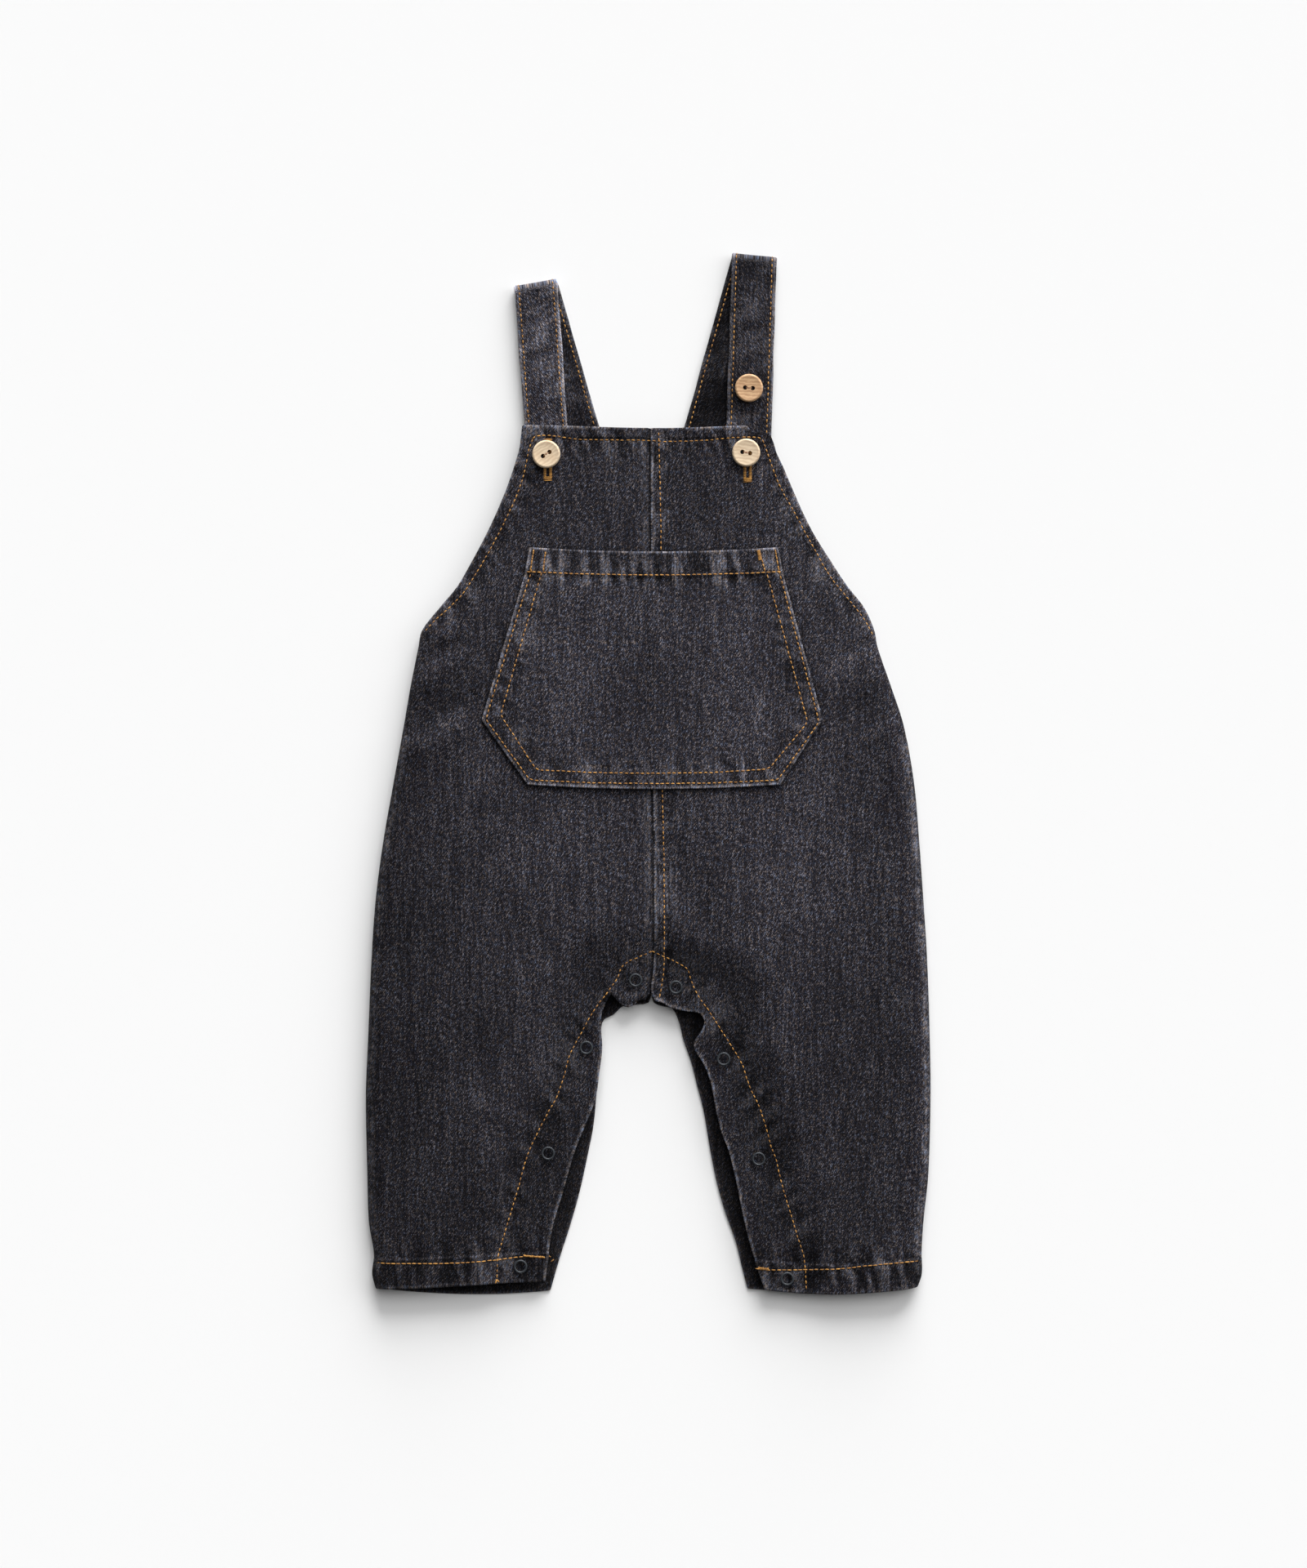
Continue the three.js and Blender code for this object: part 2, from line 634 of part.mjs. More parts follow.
function backPanel(side) {
  const seamGap = gapAt(0, side);
  const height = (x, y) => backMiddle(x, y, side);
  const armhole = steps(BACK_TOP, UNDERARM, ARMHOLE_PITCH);
  const body = steps(UNDERARM, BODY_END.back, BACK_PITCH).slice(1);
  const legs = steps(LEG_TOP.back[side], HEM_DEPTH + LEG_END, BACK_PITCH);
  const edge = LEG_HEM.back[side];
  const edgeX = (y) => (y > UNDERARM ? backArmhole[side](y) : outerEdge[side](y));
  const place = (outerY, inner, sag = 0) =>
    section(side, { x: shifted(edgeX(outerY), side), y: outerY }, inner, sag, SECTION_POINTS.back, height);
  const grid = [
    ...[...armhole, ...body].map((y) => place(y, { x: centreSeam.back(y) + seamGap, y })),
    ...CROTCH.back[side].map((row) => place(row.side, { x: row.x + gapAt(row.x, side), y: row.y })),
    ...legs.map((y) => place(y, { x: inseam.back[side](y), y })),
    ...[HEM_DEPTH / 2, 0].map((up) => {
      const y = edge.inner + up;
      return place(edge.outer + up, { x: inseam.back[side](y), y }, edge.sag);
    }),
  ];
  return wall(grid, CLOTH);
}

// Cuts in the front

function notchShape() {
  const shape = new THREE.Shape();
  shape.moveTo(NOTCH[0].x, NOTCH[0].y);
  shape.splineThru(NOTCH.slice(1).map(({ x, y }) => new THREE.Vector2(x, y)));
  shape.lineTo(NOTCH_CUT.x, NOTCH_CUT.y);
  shape.lineTo(NOTCH[0].x, NOTCH_CUT.y);
  return shape;
}

function buttonholeShape({ x, y }) {
  const shape = new THREE.Shape();
  const half = BUTTONHOLE_WIDTH / 2;
  const reach = BUTTONHOLE_LENGTH / 2 - half;
  shape.absarc(x, y + reach, half, 0, Math.PI);
  shape.absarc(x, y - reach, half, Math.PI, 2 * Math.PI);
  return shape;
}

function cornerShape() {
  const [first, ...rest] = TURNED_CORNER;
  const shape = new THREE.Shape();
  shape.moveTo(first.x, first.y);
  rest.forEach(({ x, y }) => shape.lineTo(x, y));
  shape.lineTo(rest.at(-1).x, first.y);
  return shape;
}

function frontGeometry(side) {
  const cuts = [cutter(buttonholeShape(BUTTONHOLES[side]))];
  cuts.push(cutter(side === 'left' ? notchShape() : cornerShape()));
  return geometryOf(cuts.reduce((solid, cut) => solid.subtract(cut), solidOf(frontPanel(side))));
}

// Pocket, from the points of the front, moved out

function frontOutside(x, y) {
  const fromSeam = x - centreSeam.front(y);
  const rising = THREE.MathUtils.smoothstep(fromSeam, -FELL_EASE.before, 0);
  const falling = THREE.MathUtils.smoothstep(fromSeam, FELL_WIDTH, FELL_WIDTH + FELL_EASE.after);
  return frontMiddle(x, y) + CLOTH / 2 + FELL_LIFT * rising * (1 - falling);
}

function pocketGeometry() {
  const edge = {
    left: polylineOf(POCKET_EDGE, 'left'),
    right: polylineOf(POCKET_EDGE, 'right'),
    sag: polylineOf(POCKET_EDGE, 'sag'),
  };
  const [mouth, hem, corner, bottom] = POCKET_EDGE.map((row) => row.y);
  const rows = [
    mouth,
    mouth - POCKET_HEM / 2,
    mouth - POCKET_HEM,
    mouth - POCKET_HEM - STEP,
    ...steps(hem - POCKET_FIRST, corner, FRONT_PITCH),
    ...steps(corner, bottom, FRONT_PITCH).slice(1),
  ];
  const { easeStart, start, end, easeEnd } = POCKET_FELL;
  const shares = [
    ...steps(0, easeStart, easeStart / POCKET_COLUMNS),
    start,
    end,
    ...steps(easeEnd, 1, (1 - easeEnd) / POCKET_COLUMNS),
  ];
  const grid = rows.map((y) =>
    shares.map((share) => {
      const x = THREE.MathUtils.lerp(edge.left(y), edge.right(y), share);
      const sagged = y - 4 * edge.sag(y) * share * (1 - share);
      const open = Math.sin(Math.PI * share) * THREE.MathUtils.smoothstep(y, bottom, mouth);
      const z = frontOutside(x, sagged) + POCKET_CLEARANCE + CLOTH / 2 + POCKET_PUFF * open;
      return new THREE.Vector3(x, sagged, z);
    }),
  );
  const lift = (x, y) => {
    const share = (x - edge.left(y)) / (edge.right(y) - edge.left(y));
    const top = mouth - 4 * edge.sag(mouth) * share * (1 - share);
    return POCKET_HEM_LIFT * layer(top - y - POCKET_MARGIN, POCKET_HEM);
  };
  return wall(grid, CLOTH, lift);
}

// Straps: up the table from the back, over the shoulder fold and down under the bib

function strapGeometry({ width, x, y, front, back, fold, frontEnd }) {
  const turned = (slant) => new THREE.Vector3(Math.sin(slant), -Math.cos(slant), 0);
  const slants = [front, back, fold].map((degrees) => THREE.MathUtils.degToRad(degrees));
  const [frontDown, backDown, foldDown] = slants.map(turned);
  const up = new THREE.Vector3(0, 0, 1);
  const along = new THREE.Vector3().crossVectors(up, foldDown);
  const half = width / 2;
  const outline = [
    { w: -half, t: 0 },
    { w: -half + STRAP_EDGE, t: STRAP_THICKNESS / 2 },
    { w: half - STRAP_EDGE, t: STRAP_THICKNESS / 2 },
    { w: half, t: 0 },
    { w: half - STRAP_EDGE, t: -STRAP_THICKNESS / 2 },
    { w: -half + STRAP_EDGE, t: -STRAP_THICKNESS / 2 },
  ];
  const start = new THREE.Vector3(x, y, 0);
  const place = (down, run, z) => start.clone().addScaledVector(down, run).setZ(z);
  const backRun = (end) => (end - y) / backDown.y;
  const lapZ = CLOTH + GAP + REST_Z;
  const backRuns = [
    { run: backRun(BACK_TOP - STRAP_LAP), z: lapZ },
    { run: backRun(BACK_TOP) - LAP_LEAD, z: lapZ },
    ...steps(backRun(BACK_TOP) - LAP_RISE, 0, STRAP_PITCH.back).map((run) => ({ run, z: REST_Z })),
  ];
  const frontEndRun = (frontEnd - y) / frontDown.y;
  const settled = (run) => TOP_Z - (TOP_Z - FRONT_STRAP_Z) * THREE.MathUtils.smoothstep(run, 0, SETTLE);
  const settling = steps(0, SETTLE, STRAP_PITCH.settle);
  const frontRuns = [...settling, ...steps(SETTLE, frontEndRun, STRAP_PITCH.front).slice(1)];
  const turns = steps(0, Math.PI, Math.PI / FOLD_TURNS).slice(1, -1);
  const stations = [
    ...backRuns.map(({ run, z }) => ({ centre: place(backDown, run, z), normal: up.clone().negate() })),
    ...turns.map((angle) => {
      const normal = foldDown.clone().multiplyScalar(-Math.sin(angle)).addScaledVector(up, -Math.cos(angle));
      const centre = start.clone().setZ(REST_Z + FOLD_RADIUS).addScaledVector(normal, FOLD_RADIUS);
      return { centre, normal };
    }),
    ...frontRuns.map((run) => ({ centre: place(frontDown, run, settled(run)), normal: up })),
  ];
  return swept(stations, outline, along);
}

// A bar through stations that share one cross direction, closed at both ends.
function swept(stations, outline, along) {
  const positions = [];
  const faces = [];
  stations.forEach(({ centre, normal }, i) => {
    outline.forEach(({ w, t }, j) => {
      positions.push(...centre.clone().addScaledVector(along, w).addScaledVector(normal, t));
      const next = (j + 1) % outline.length;
      if (i + 1 < stations.length) {
        const a = i * outline.length + j;
        const b = i * outline.length + next;
        const c = a + outline.length;
        const d = b + outline.length;
        faces.push(a, c, d, a, d, b);
      }
    });
  });
  const last = (stations.length - 1) * outline.length;
  for (let j = 1; j + 1 < outline.length; j++) {
    faces.push(0, j, j + 1);
    faces.push(last, last + j + 1, last + j);
  }
  const geometry = new THREE.BufferGeometry();
  geometry.setAttribute('position', new THREE.Float32BufferAttribute(positions, 3));
  geometry.setIndex(faces);
  return geometry;
}

// Buttons, their thread and the snaps

const UPRIGHT = Math.PI / 2; // turns the lathe's and the cylinder's own axis up

function disc(radius, height, z, sides) {
  const cylinder = new THREE.CylinderGeometry(radius, radius, height, sides);
  return cylinder.rotateX(UPRIGHT).translate(0, 0, z + height / 2);
}

function buttonGeometry() {
  const points = BUTTON_PROFILE.map(({ inset, height }) => new THREE.Vector2(BUTTON_RADIUS - inset, height));
  const body = solidOf(new THREE.LatheGeometry(points, SIDES.button).rotateX(UPRIGHT));
  const holes = [-1, 1].map((end) => {
    const hole = disc(BUTTON_HOLE_RADIUS, BUTTON_THICKNESS + 2, -1, SIDES.buttonHole);
    return solidOf(hole.translate((end * BUTTON_HOLE_SPACING) / 2, 0, 0));
  });
  return geometryOf(holes.reduce((solid, hole) => solid.subtract(hole), body));
}

// Thread through both holes, wound into one shank below the button. It reaches down by drop.
function threadGeometry(drop) {
  const top = BUTTON_THICKNESS - BUTTON_DISH;
  const legHeight = top + THREAD_BAR + THREAD_JOIN;
  const legs = [-1, 1].map((end) => {
    const leg = disc(THREAD_RADIUS, legHeight, -THREAD_JOIN, SIDES.threadLeg);
    return leg.translate((end * BUTTON_HOLE_SPACING) / 2, 0, 0);
  });
  const length = BUTTON_HOLE_SPACING + 2 * THREAD_RADIUS;
  const bar = new THREE.BoxGeometry(length, 2 * THREAD_RADIUS, THREAD_BAR).translate(0, 0, top + THREAD_BAR);
  const tie = new THREE.BoxGeometry(length, 2 * SHANK_RADIUS, THREAD_TIE).translate(0, 0, -THREAD_TIE);
  const shank = disc(SHANK_RADIUS, drop - THREAD_JOIN, -drop, SIDES.shank);
  return geometryOf([...legs, bar, tie].reduce((solid, piece) => solid.add(solidOf(piece)), solidOf(shank)));
}

function snapCapGeometry() {
  const r = SNAP_RADIUS;
  const h = SNAP_CAP_HEIGHT;
  const profile = [
    [r - SNAP_RIM, 0],
    [r, 0],
    [r, h * 0.5],
    [r - SNAP_RIM / 2, h],
    [r - SNAP_RIM, h * 0.5],
    [r - SNAP_RIM, 0],
  ];
  const points = profile.map(([radius, height]) => new THREE.Vector2(radius, height));
  return new THREE.LatheGeometry(points, SIDES.snapCap).rotateX(UPRIGHT);
}

// Socket and stud, closed, between the two plackets.
function snapBodyGeometry(height) {
  const points = SNAP_BODY_PROFILE.map((row) => new THREE.Vector2(SNAP_RADIUS - row.inset, height * row.share));
  return new THREE.LatheGeometry(points, SIDES.snapBody).rotateX(UPRIGHT);
}

// Highest point of some pieces within a radius, looking down, or their lowest one, looking up.
function level(pieces, x, y, radius, looking) {
  const from = looking === 'down' ? RAY_START : -RAY_START;
  const ray = new THREE.Raycaster();
  const direction = new THREE.Vector3(0, 0, -Math.sign(from));
  const heights = [];
  for (const share of RAY_RINGS) {
    for (let k = 0; k < RAYS_ROUND; k++) {
      const angle = (2 * Math.PI * k) / RAYS_ROUND;
      const out = new THREE.Vector3(Math.cos(angle), Math.sin(angle), 0).multiplyScalar(share * radius);
      ray.set(out.add(new THREE.Vector3(x, y, from)), direction);
      const [hit] = ray.intersectObjects(pieces, false);
      if (hit) heights.push(hit.point.z);
    }
  }
  return looking === 'down' ? Math.max(...heights) : Math.min(...heights);
}

function addButtons(group, fronts) {
  for (const { name, x, y, turn, on } of BUTTONS) {
    const strapTop = FRONT_STRAP_Z + STRAP_THICKNESS / 2;
    const under = (on === 'bib' ? level(fronts, x, y, BUTTON_RADIUS, 'down') : strapTop) + SHANK_SHOWING;
    const button = node(`button_${name}`, buttonGeometry(), WOOD);
    const thread = node(`button_thread_${name}`, threadGeometry(under - strapTop - GAP / 2), THREAD);
    for (const piece of [button, thread]) {
      piece.position.set(x, y, under);
      piece.rotation.z = THREE.MathUtils.degToRad(turn);
      group.add(piece);
    }
  }
}

function addSnaps(group, fronts, backs) {
  for (const { name, x, y } of SNAPS) {
    const cap = node(`snap_cap_${name}`, snapCapGeometry(), SNAP_METAL);
    cap.position.set(x, y, level(fronts, x, y, SNAP_RADIUS, 'down') + GAP / 2);
    group.add(cap);
    const bottom = level(backs, x, y, SNAP_RADIUS, 'down') + GAP / 2;
    const top = level(fronts, x, y, SNAP_RADIUS, 'up') - GAP / 2;
    const body = node(`snap_${name}`, snapBodyGeometry(top - bottom), SNAP_METAL);
    body.position.set(x, y, bottom);
    group.add(body);
  }
}

function dungarees() {
  const group = new THREE.Group();
  const fronts = [];
  const backs = [];
  for (const side of ['left', 'right']) {
    fronts.push(node(`front_${side}`, frontGeometry(side), DENIM));
    backs.push(node(`back_${side}`, backPanel(side), DENIM_INSIDE));
    group.add(node(`strap_${side}`, strapGeometry(STRAPS[side]), DENIM));
  }
  group.add(...fronts, ...backs);
  group.add(node('pocket', pocketGeometry(), DENIM));
  addButtons(group, fronts);
  addSnaps(group, fronts, backs);
  group.position.set(0, -MIDDLE_Y, 0);
  const part = new THREE.Group();
  part.add(group);
  return part;
}

export default dungarees();
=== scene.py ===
"""A baby's washed denim dungarees, laid flat with the front up.

The panels, pocket, straps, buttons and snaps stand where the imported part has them. Tables are in millimetres: x runs
to the right and y up from the leg hems, as seen from above, and z up from the surface that the garment lies on.
"""

import logging
import math
from collections.abc import Callable, Iterable, Sequence
from dataclasses import dataclass, field
from enum import Enum

import bpy
import numpy as np
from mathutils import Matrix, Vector
from mathutils.kdtree import KDTree


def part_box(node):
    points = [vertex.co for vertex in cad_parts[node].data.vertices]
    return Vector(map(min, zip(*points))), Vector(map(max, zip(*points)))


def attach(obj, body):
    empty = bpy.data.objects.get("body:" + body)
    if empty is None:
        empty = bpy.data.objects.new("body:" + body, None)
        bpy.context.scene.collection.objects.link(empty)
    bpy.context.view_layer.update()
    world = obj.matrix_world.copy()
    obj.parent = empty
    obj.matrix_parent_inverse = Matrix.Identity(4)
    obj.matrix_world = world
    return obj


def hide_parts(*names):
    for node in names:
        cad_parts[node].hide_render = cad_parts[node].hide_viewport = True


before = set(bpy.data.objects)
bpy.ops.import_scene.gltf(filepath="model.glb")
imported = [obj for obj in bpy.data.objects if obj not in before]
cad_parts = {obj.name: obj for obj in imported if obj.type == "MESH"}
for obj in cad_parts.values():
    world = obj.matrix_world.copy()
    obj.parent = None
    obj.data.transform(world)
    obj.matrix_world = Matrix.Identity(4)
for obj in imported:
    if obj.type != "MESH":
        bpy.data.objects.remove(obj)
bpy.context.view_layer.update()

LOG = logging.getLogger("dungarees")

Array = np.ndarray
Height = Callable[[Array, Array], Array]

MM = 0.001
MIDDLE_Y = 280.4  # table y at the middle of the row's frame
CLOTH = 1.2  # one layer of denim in the solids
DENIM = 1.0  # one layer of denim as shown
UV_SIZE = 100.0  # millimetres of cloth in one unit of the cloth map
NOISE_CELLS = 128  # cells before a noise repeats
NOISE_START = (57.3, 31.7)  # where in its cells a noise starts
SEAM_FOOT = 156.0  # y of the crotch, where the centre seam ends
BIB_EDGE = 466.0  # y of the bib's upper edge
STRAPS_SHOW = 456.0  # y from which the straps show over the bib


# Numbers along curves


def hermite(where: Array, at: Sequence[float], values: Sequence[float]) -> Array:
    """Follow table values smoothly.

    Args:
        where: Places to evaluate.
        at: Places of the rows, in any order.
        values: The rows' values.

    Returns:
        The smooth value at each place.
    """
    order = np.argsort(at)
    x, y = np.asarray(at, float)[order], np.asarray(values, float)[order]
    slope = np.empty_like(y)
    slope[1:-1] = (y[2:] - y[:-2]) / (x[2:] - x[:-2])
    slope[0] = (y[1] - y[0]) / (x[1] - x[0])
    slope[-1] = (y[-1] - y[-2]) / (x[-1] - x[-2])
    place = np.clip(np.asarray(where, float), x[0], x[-1])
    i = np.clip(np.searchsorted(x, place, side="right") - 1, 0, len(x) - 2)
    span = x[i + 1] - x[i]
    t = (place - x[i]) / span
    return (
        y[i] * (1 + 2 * t) * (1 - t) ** 2
        + slope[i] * span * t * (1 - t) ** 2
        + y[i + 1] * t * t * (3 - 2 * t)
        + slope[i + 1] * span * t * t * (t - 1)
    )


def smoothstep(value: Array, low: float, high: float) -> Array:
    """Rise smoothly from 0 at low to 1 at high."""
    t = np.clip((np.asarray(value, float) - low) / (high - low), 0, 1)
    return t * t * (3 - 2 * t)


def bell(distance: Array, wide: float) -> Array:
    """Give 1 at no distance, falling away softly on both sides."""
    return np.exp(-((distance / wide) ** 2))


def along(points: Array) -> Array:
    """Give the distance run at each point of a line."""
    return np.concatenate([[0.0], np.cumsum(np.linalg.norm(np.diff(points, axis=0), axis=1))])


def resampled(points: Sequence[Sequence[float]], step: float, smooth: bool = True) -> Array:
    """Space points evenly on a line through table rows.

    Args:
        points: The rows' places.
        step: Distance between the new points.
        smooth: Whether the line is rounded at the rows.

    Returns:
        The new points.
    """
    rows = np.asarray(points, float)
    run = along(rows)
    fine = np.linspace(0, run[-1], max(8, int(run[-1] / 0.4)))
    take = hermite if smooth else np.interp
    line = np.stack([take(fine, run, rows[:, k]) for k in range(rows.shape[1])], axis=1)
    run = along(line)
    count = max(2, int(round(run[-1] / step)) + 1)
    even = np.linspace(0, run[-1], count)
    return np.stack([np.interp(even, run, line[:, k]) for k in range(line.shape[1])], axis=1)


def noise(x: Array, y: Array, cell_x: float, cell_y: float, seed: int) -> Array:
    """Give smooth random values from -1 to 1.

    Args:
        x: First coordinate.
        y: Second coordinate.
        cell_x: Size of a feature along x.
        cell_y: Size of a feature along y.
        seed: Seed of the pattern.

    Returns:
        One value for each place.
    """
    table = np.random.default_rng(seed).uniform(-1, 1, (NOISE_CELLS, NOISE_CELLS))
    u, v = np.asarray(x, float) / cell_x + NOISE_START[0], np.asarray(y, float) / cell_y + NOISE_START[1]
    i, j = np.floor(u).astype(int), np.floor(v).astype(int)
    a, b = u - i, v - j
    a, b = a * a * (3 - 2 * a), b * b * (3 - 2 * b)

    def corner(right: int, up: int) -> Array:
        """Give the random value at one corner of each place's cell."""
        return table[(i + right) % NOISE_CELLS, (j + up) % NOISE_CELLS]

    low = corner(0, 0) * (1 - a) + corner(1, 0) * a
    high = corner(0, 1) * (1 - a) + corner(1, 1) * a
    return low * (1 - b) + high * b


class Line:
    """A line on the cloth that others measure their distance from."""

    def __init__(self, points: Sequence[Sequence[float]], smooth: bool = True, step: float = 0.5) -> None:
        """Space the line's points closely and index them."""
        self.points = resampled(points, step, smooth)
        self.run = along(self.points)
        self.tree = KDTree(len(self.points))
        for i, (x, y) in enumerate(self.points):
            self.tree.insert((x, y, 0.0), i)
        self.tree.balance()

    def near(self, x: Array, y: Array) -> tuple[Array, Array]:
        """Measure from places to the line.

        Args:
            x: The places' x.
            y: The places' y.

        Returns:
            The distance to the line, and the run along it at the nearest point.
        """
        shape = np.shape(x)
        found = [self.tree.find((a, b, 0.0)) for a, b in zip(np.ravel(x), np.ravel(y))]
        away = np.array([f[2] for f in found]).reshape(shape)
        run = self.run[np.array([f[1] for f in found], int)].reshape(shape)
        return away, run


# What the garment's cloth follows


class Side(Enum):
    """The two halves of the garment as seen from above."""

    LEFT = -1
    RIGHT = 1

    @property
    def word(self) -> str:
        """Give the side's word in node names."""
        return self.name.lower()


@dataclass(frozen=True)
class Outline:
    """Outer edges and seams of the garment, from the leg hems up."""

    # y, left, right: bib corner, armhole, underarm at 357, side seam, hem
    outer: tuple[tuple[float, float, float], ...] = (
        (466.6, -67.6, 65.4),
        (461, -68.2, 67.4),
        (453, -69.4, 69.4),
        (432, -76.4, 77.8),
        (411, -85.6, 87.6),
        (390, -96.8, 100.6),
        (380, -102.8, 107.4),
        (369, -112.0, 116.0),
        (357, -121.4, 121.4),
        (348, -123.4, 123.2),
        (327, -127.6, 130.4),
        (306, -131.2, 137.2),
        (275, -136.8, 142.8),
        (243, -142.4, 145.6),
        (212, -146.4, 147.8),
        (180, -148.6, 149.8),
        (138, -150.4, 151.2),
        (107, -151.6, 151.6),
        (65, -150.8, 150.4),
        (40, -150.0, 147.8),
        (22, -147.2, 146.8),
        (12, -148.1, 146.8),
        (4, -146.2, 144.2),
    )
    # y, left, right: armhole of the back
    back_armhole: tuple[tuple[float, float, float], ...] = (
        (402, -40, 35),
        (392, -58, 53),
        (377, -83, 79),
        (364, -104, 101),
        (357, -121.4, 121.4),
    )
    # y, front, back: x of the centre seams
    centre: tuple[tuple[float, float, float], ...] = (
        (466.6, 1.2, -3.5),
        (400, 1.4, -3.5),
        (272, 2.5, -1),
        (183, 3.2, 1),
        (158, 0.6, 1.5),
    )
    underarm: float = 357.0
    back_top: float = 402.0

    def edge(self, side: Side, y: Array) -> Array:
        """Give x of the front's outer edge."""
        column = 1 if side is Side.LEFT else 2
        return hermite(y, [r[0] for r in self.outer], [r[column] for r in self.outer])

    def back_edge(self, side: Side, y: Array) -> Array:
        """Give x of the back's outer edge, which follows its own armhole above the underarm."""
        column = 1 if side is Side.LEFT else 2
        rows = self.back_armhole
        armhole = hermite(y, [r[0] for r in rows], [r[column] for r in rows])
        return np.where(np.asarray(y) > self.underarm, armhole, self.edge(side, y))

    def seam(self, y: Array, back: bool = False) -> Array:
        """Give x of the centre seam."""
        return hermite(y, [r[0] for r in self.centre], [r[2 if back else 1] for r in self.centre])


OUTLINE = Outline()

# Rows of a panel: x and y at the centre seam or free edge, the heading in which the row leaves it, how far it keeps
# that heading, and y where the row meets the outer edge.
Stations = tuple[tuple[float, float, float, float, float], ...]

FRONT_LEFT: Stations = (
    (2.4, 465.4, 180, 25, 467.0),
    (2.6, 400, 180, 30, 400),
    (3.7, 272, 180, 45, 272),
    (4.2, 190, 168, 46, 197),
    (3.0, 174, 148, 38, 186),
    (1.0, 163, 126, 33, 178),
    (-1.5, 158.8, 108, 31, 173.5),
    (-4.6, 158.8, 97, 30, 170),
    (-7.6, 156.2, 93, 31, 167),
    (-11.2, 155.0, 90, 30, 164),
    (-15.8, 157.4, 90, 26, 161),
    (-19.6, 161.8, 109, 12.5, 157.5),
    (-22.6, 157.4, 160, 10, 153),
    (-25.2, 149.6, 176, 14, 148),
    (-24.6, 133, 180, 30, 134),
    (-26.0, 121, 180, 40, 121),
    (-28.2, 106, 176, 40, 106),
    (-33.2, 93, 172, 40, 92),
    (-39.6, 77, 172, 40, 76),
    (-45.6, 56, 174, 40, 54.5),
    (-51.0, 38, 176, 40, 36),
    (-53.6, 22, 178, 35, 19.5),
    (-55.6, 8, 180, 30, 4.4),
)
FRONT_RIGHT: Stations = (
    (1.35, 465.4, 0, 25, 467.0),
    (1.55, 400, 0, 30, 400),
    (2.65, 272, 0, 45, 272),
    (3.3, 190, 12, 46, 197),
    (2.7, 174, 32, 38, 187),
    (1.8, 164, 52, 34, 180),
    (3.4, 159.0, 72, 31, 175.5),
    (8.0, 157.2, 84, 30, 171.5),
    (12.0, 154.8, 86, 31, 168.5),
    (20.4, 152.8, 84, 29, 164.5),
    (27.2, 151.8, 64, 22, 160),
    (30.0, 147.6, 20, 18, 155),
    (28.3, 142.0, -8, 20, 150),
    (25.2, 137.5, -10, 22, 143),
    (24.6, 133.0, 0, 24, 136),
    (29.4, 125, 10, 30, 127),
    (33.6, 114, 10, 34, 115),
    (36.2, 100, 6, 40, 100),
    (39.2, 88, 6, 40, 88),
    (43.0, 78, 6, 40, 77),
    (47.0, 62, 6, 40, 61),
    (50.2, 46, 6, 40, 45.5),
    (54.2, 29, 6, 35, 30),
    (58.4, 16, 2, 30, 17.5),
    (62.8, 3.8, 0, 30, 5.2),
)
BACK_LEFT: Stations = (
    (-3.65, 402, 180, 20, 402),
    (-3.65, 357, 180, 40, 357),
    (-1.3, 272, 180, 45, 272),
    (0.7, 190, 168, 46, 197),
    (1.3, 170, 145, 36, 183),
    (0.4, 157.6, 115, 30, 173),
    (-6.0, 156.2, 96, 27, 167),
    (-13.8, 155.2, 100, 24, 161),
    (-18.6, 150.8, 130, 20, 155),
    (-24.4, 147.4, 150, 24, 147),
    (-25.6, 133, 180, 30, 133),
    (-26.8, 121, 180, 40, 121),
    (-29.2, 93, 176, 40, 92),
    (-32.2, 77, 174, 40, 76),
    (-36.8, 56, 170, 40, 54),
    (-41.8, 38, 170, 40, 36),
    (-47.0, 22, 174, 35, 21),
    (-52.6, 2.6, 180, 30, 3.8),
)
BACK_RIGHT: Stations = (
    (-3.35, 402, 0, 20, 402),
    (-3.35, 357, 0, 40, 357),
    (-1.0, 272, 0, 45, 272),
    (1.0, 190, 12, 46, 197),
    (1.6, 170, 35, 36, 183),
    (2.8, 157.6, 65, 30, 173),
    (8.0, 155.2, 84, 27, 167),
    (13.2, 153.8, 62, 24, 161),
    (16.8, 146.0, 20, 22, 153),
    (18.8, 137.8, 10, 26, 141),
    (23.2, 125, 12, 30, 127),
    (26.0, 114, 10, 34, 115),
    (29.6, 100, 8, 40, 100),
    (33.4, 78, 8, 40, 77),
    (36.6, 62, 10, 40, 61),
    (41.0, 46, 10, 40, 45.5),
    (47.0, 29, 8, 35, 30),
    (50.2, 16, 4, 30, 17.5),
    (53.4, 3.6, 0, 30, 5),
)

# outer x, inner x, outer y, inner y, sag: the lower edge of each leg
LEG_HEMS: dict[str, tuple[float, float, float, float, float]] = {
    "front_left": (-146.2, -55.6, 4.4, 8.0, 0.0),
    "front_right": (144.4, 62.8, 5.2, 3.8, 2.8),
    "back_left": (-146.2, -52.6, 3.8, 2.6, 2.6),
    "back_right": (144.4, 53.4, 5.0, 3.6, 2.4),
}


def leg_hem(name: str, x: Array) -> Array:
    """Give y of a leg's lower edge at x."""
    outer_x, inner_x, outer, inner, sag = LEG_HEMS[name]
    share = np.clip((x - outer_x) / (inner_x - outer_x), 0, 1)
    return outer + (inner - outer) * share - 4 * sag * share * (1 - share)


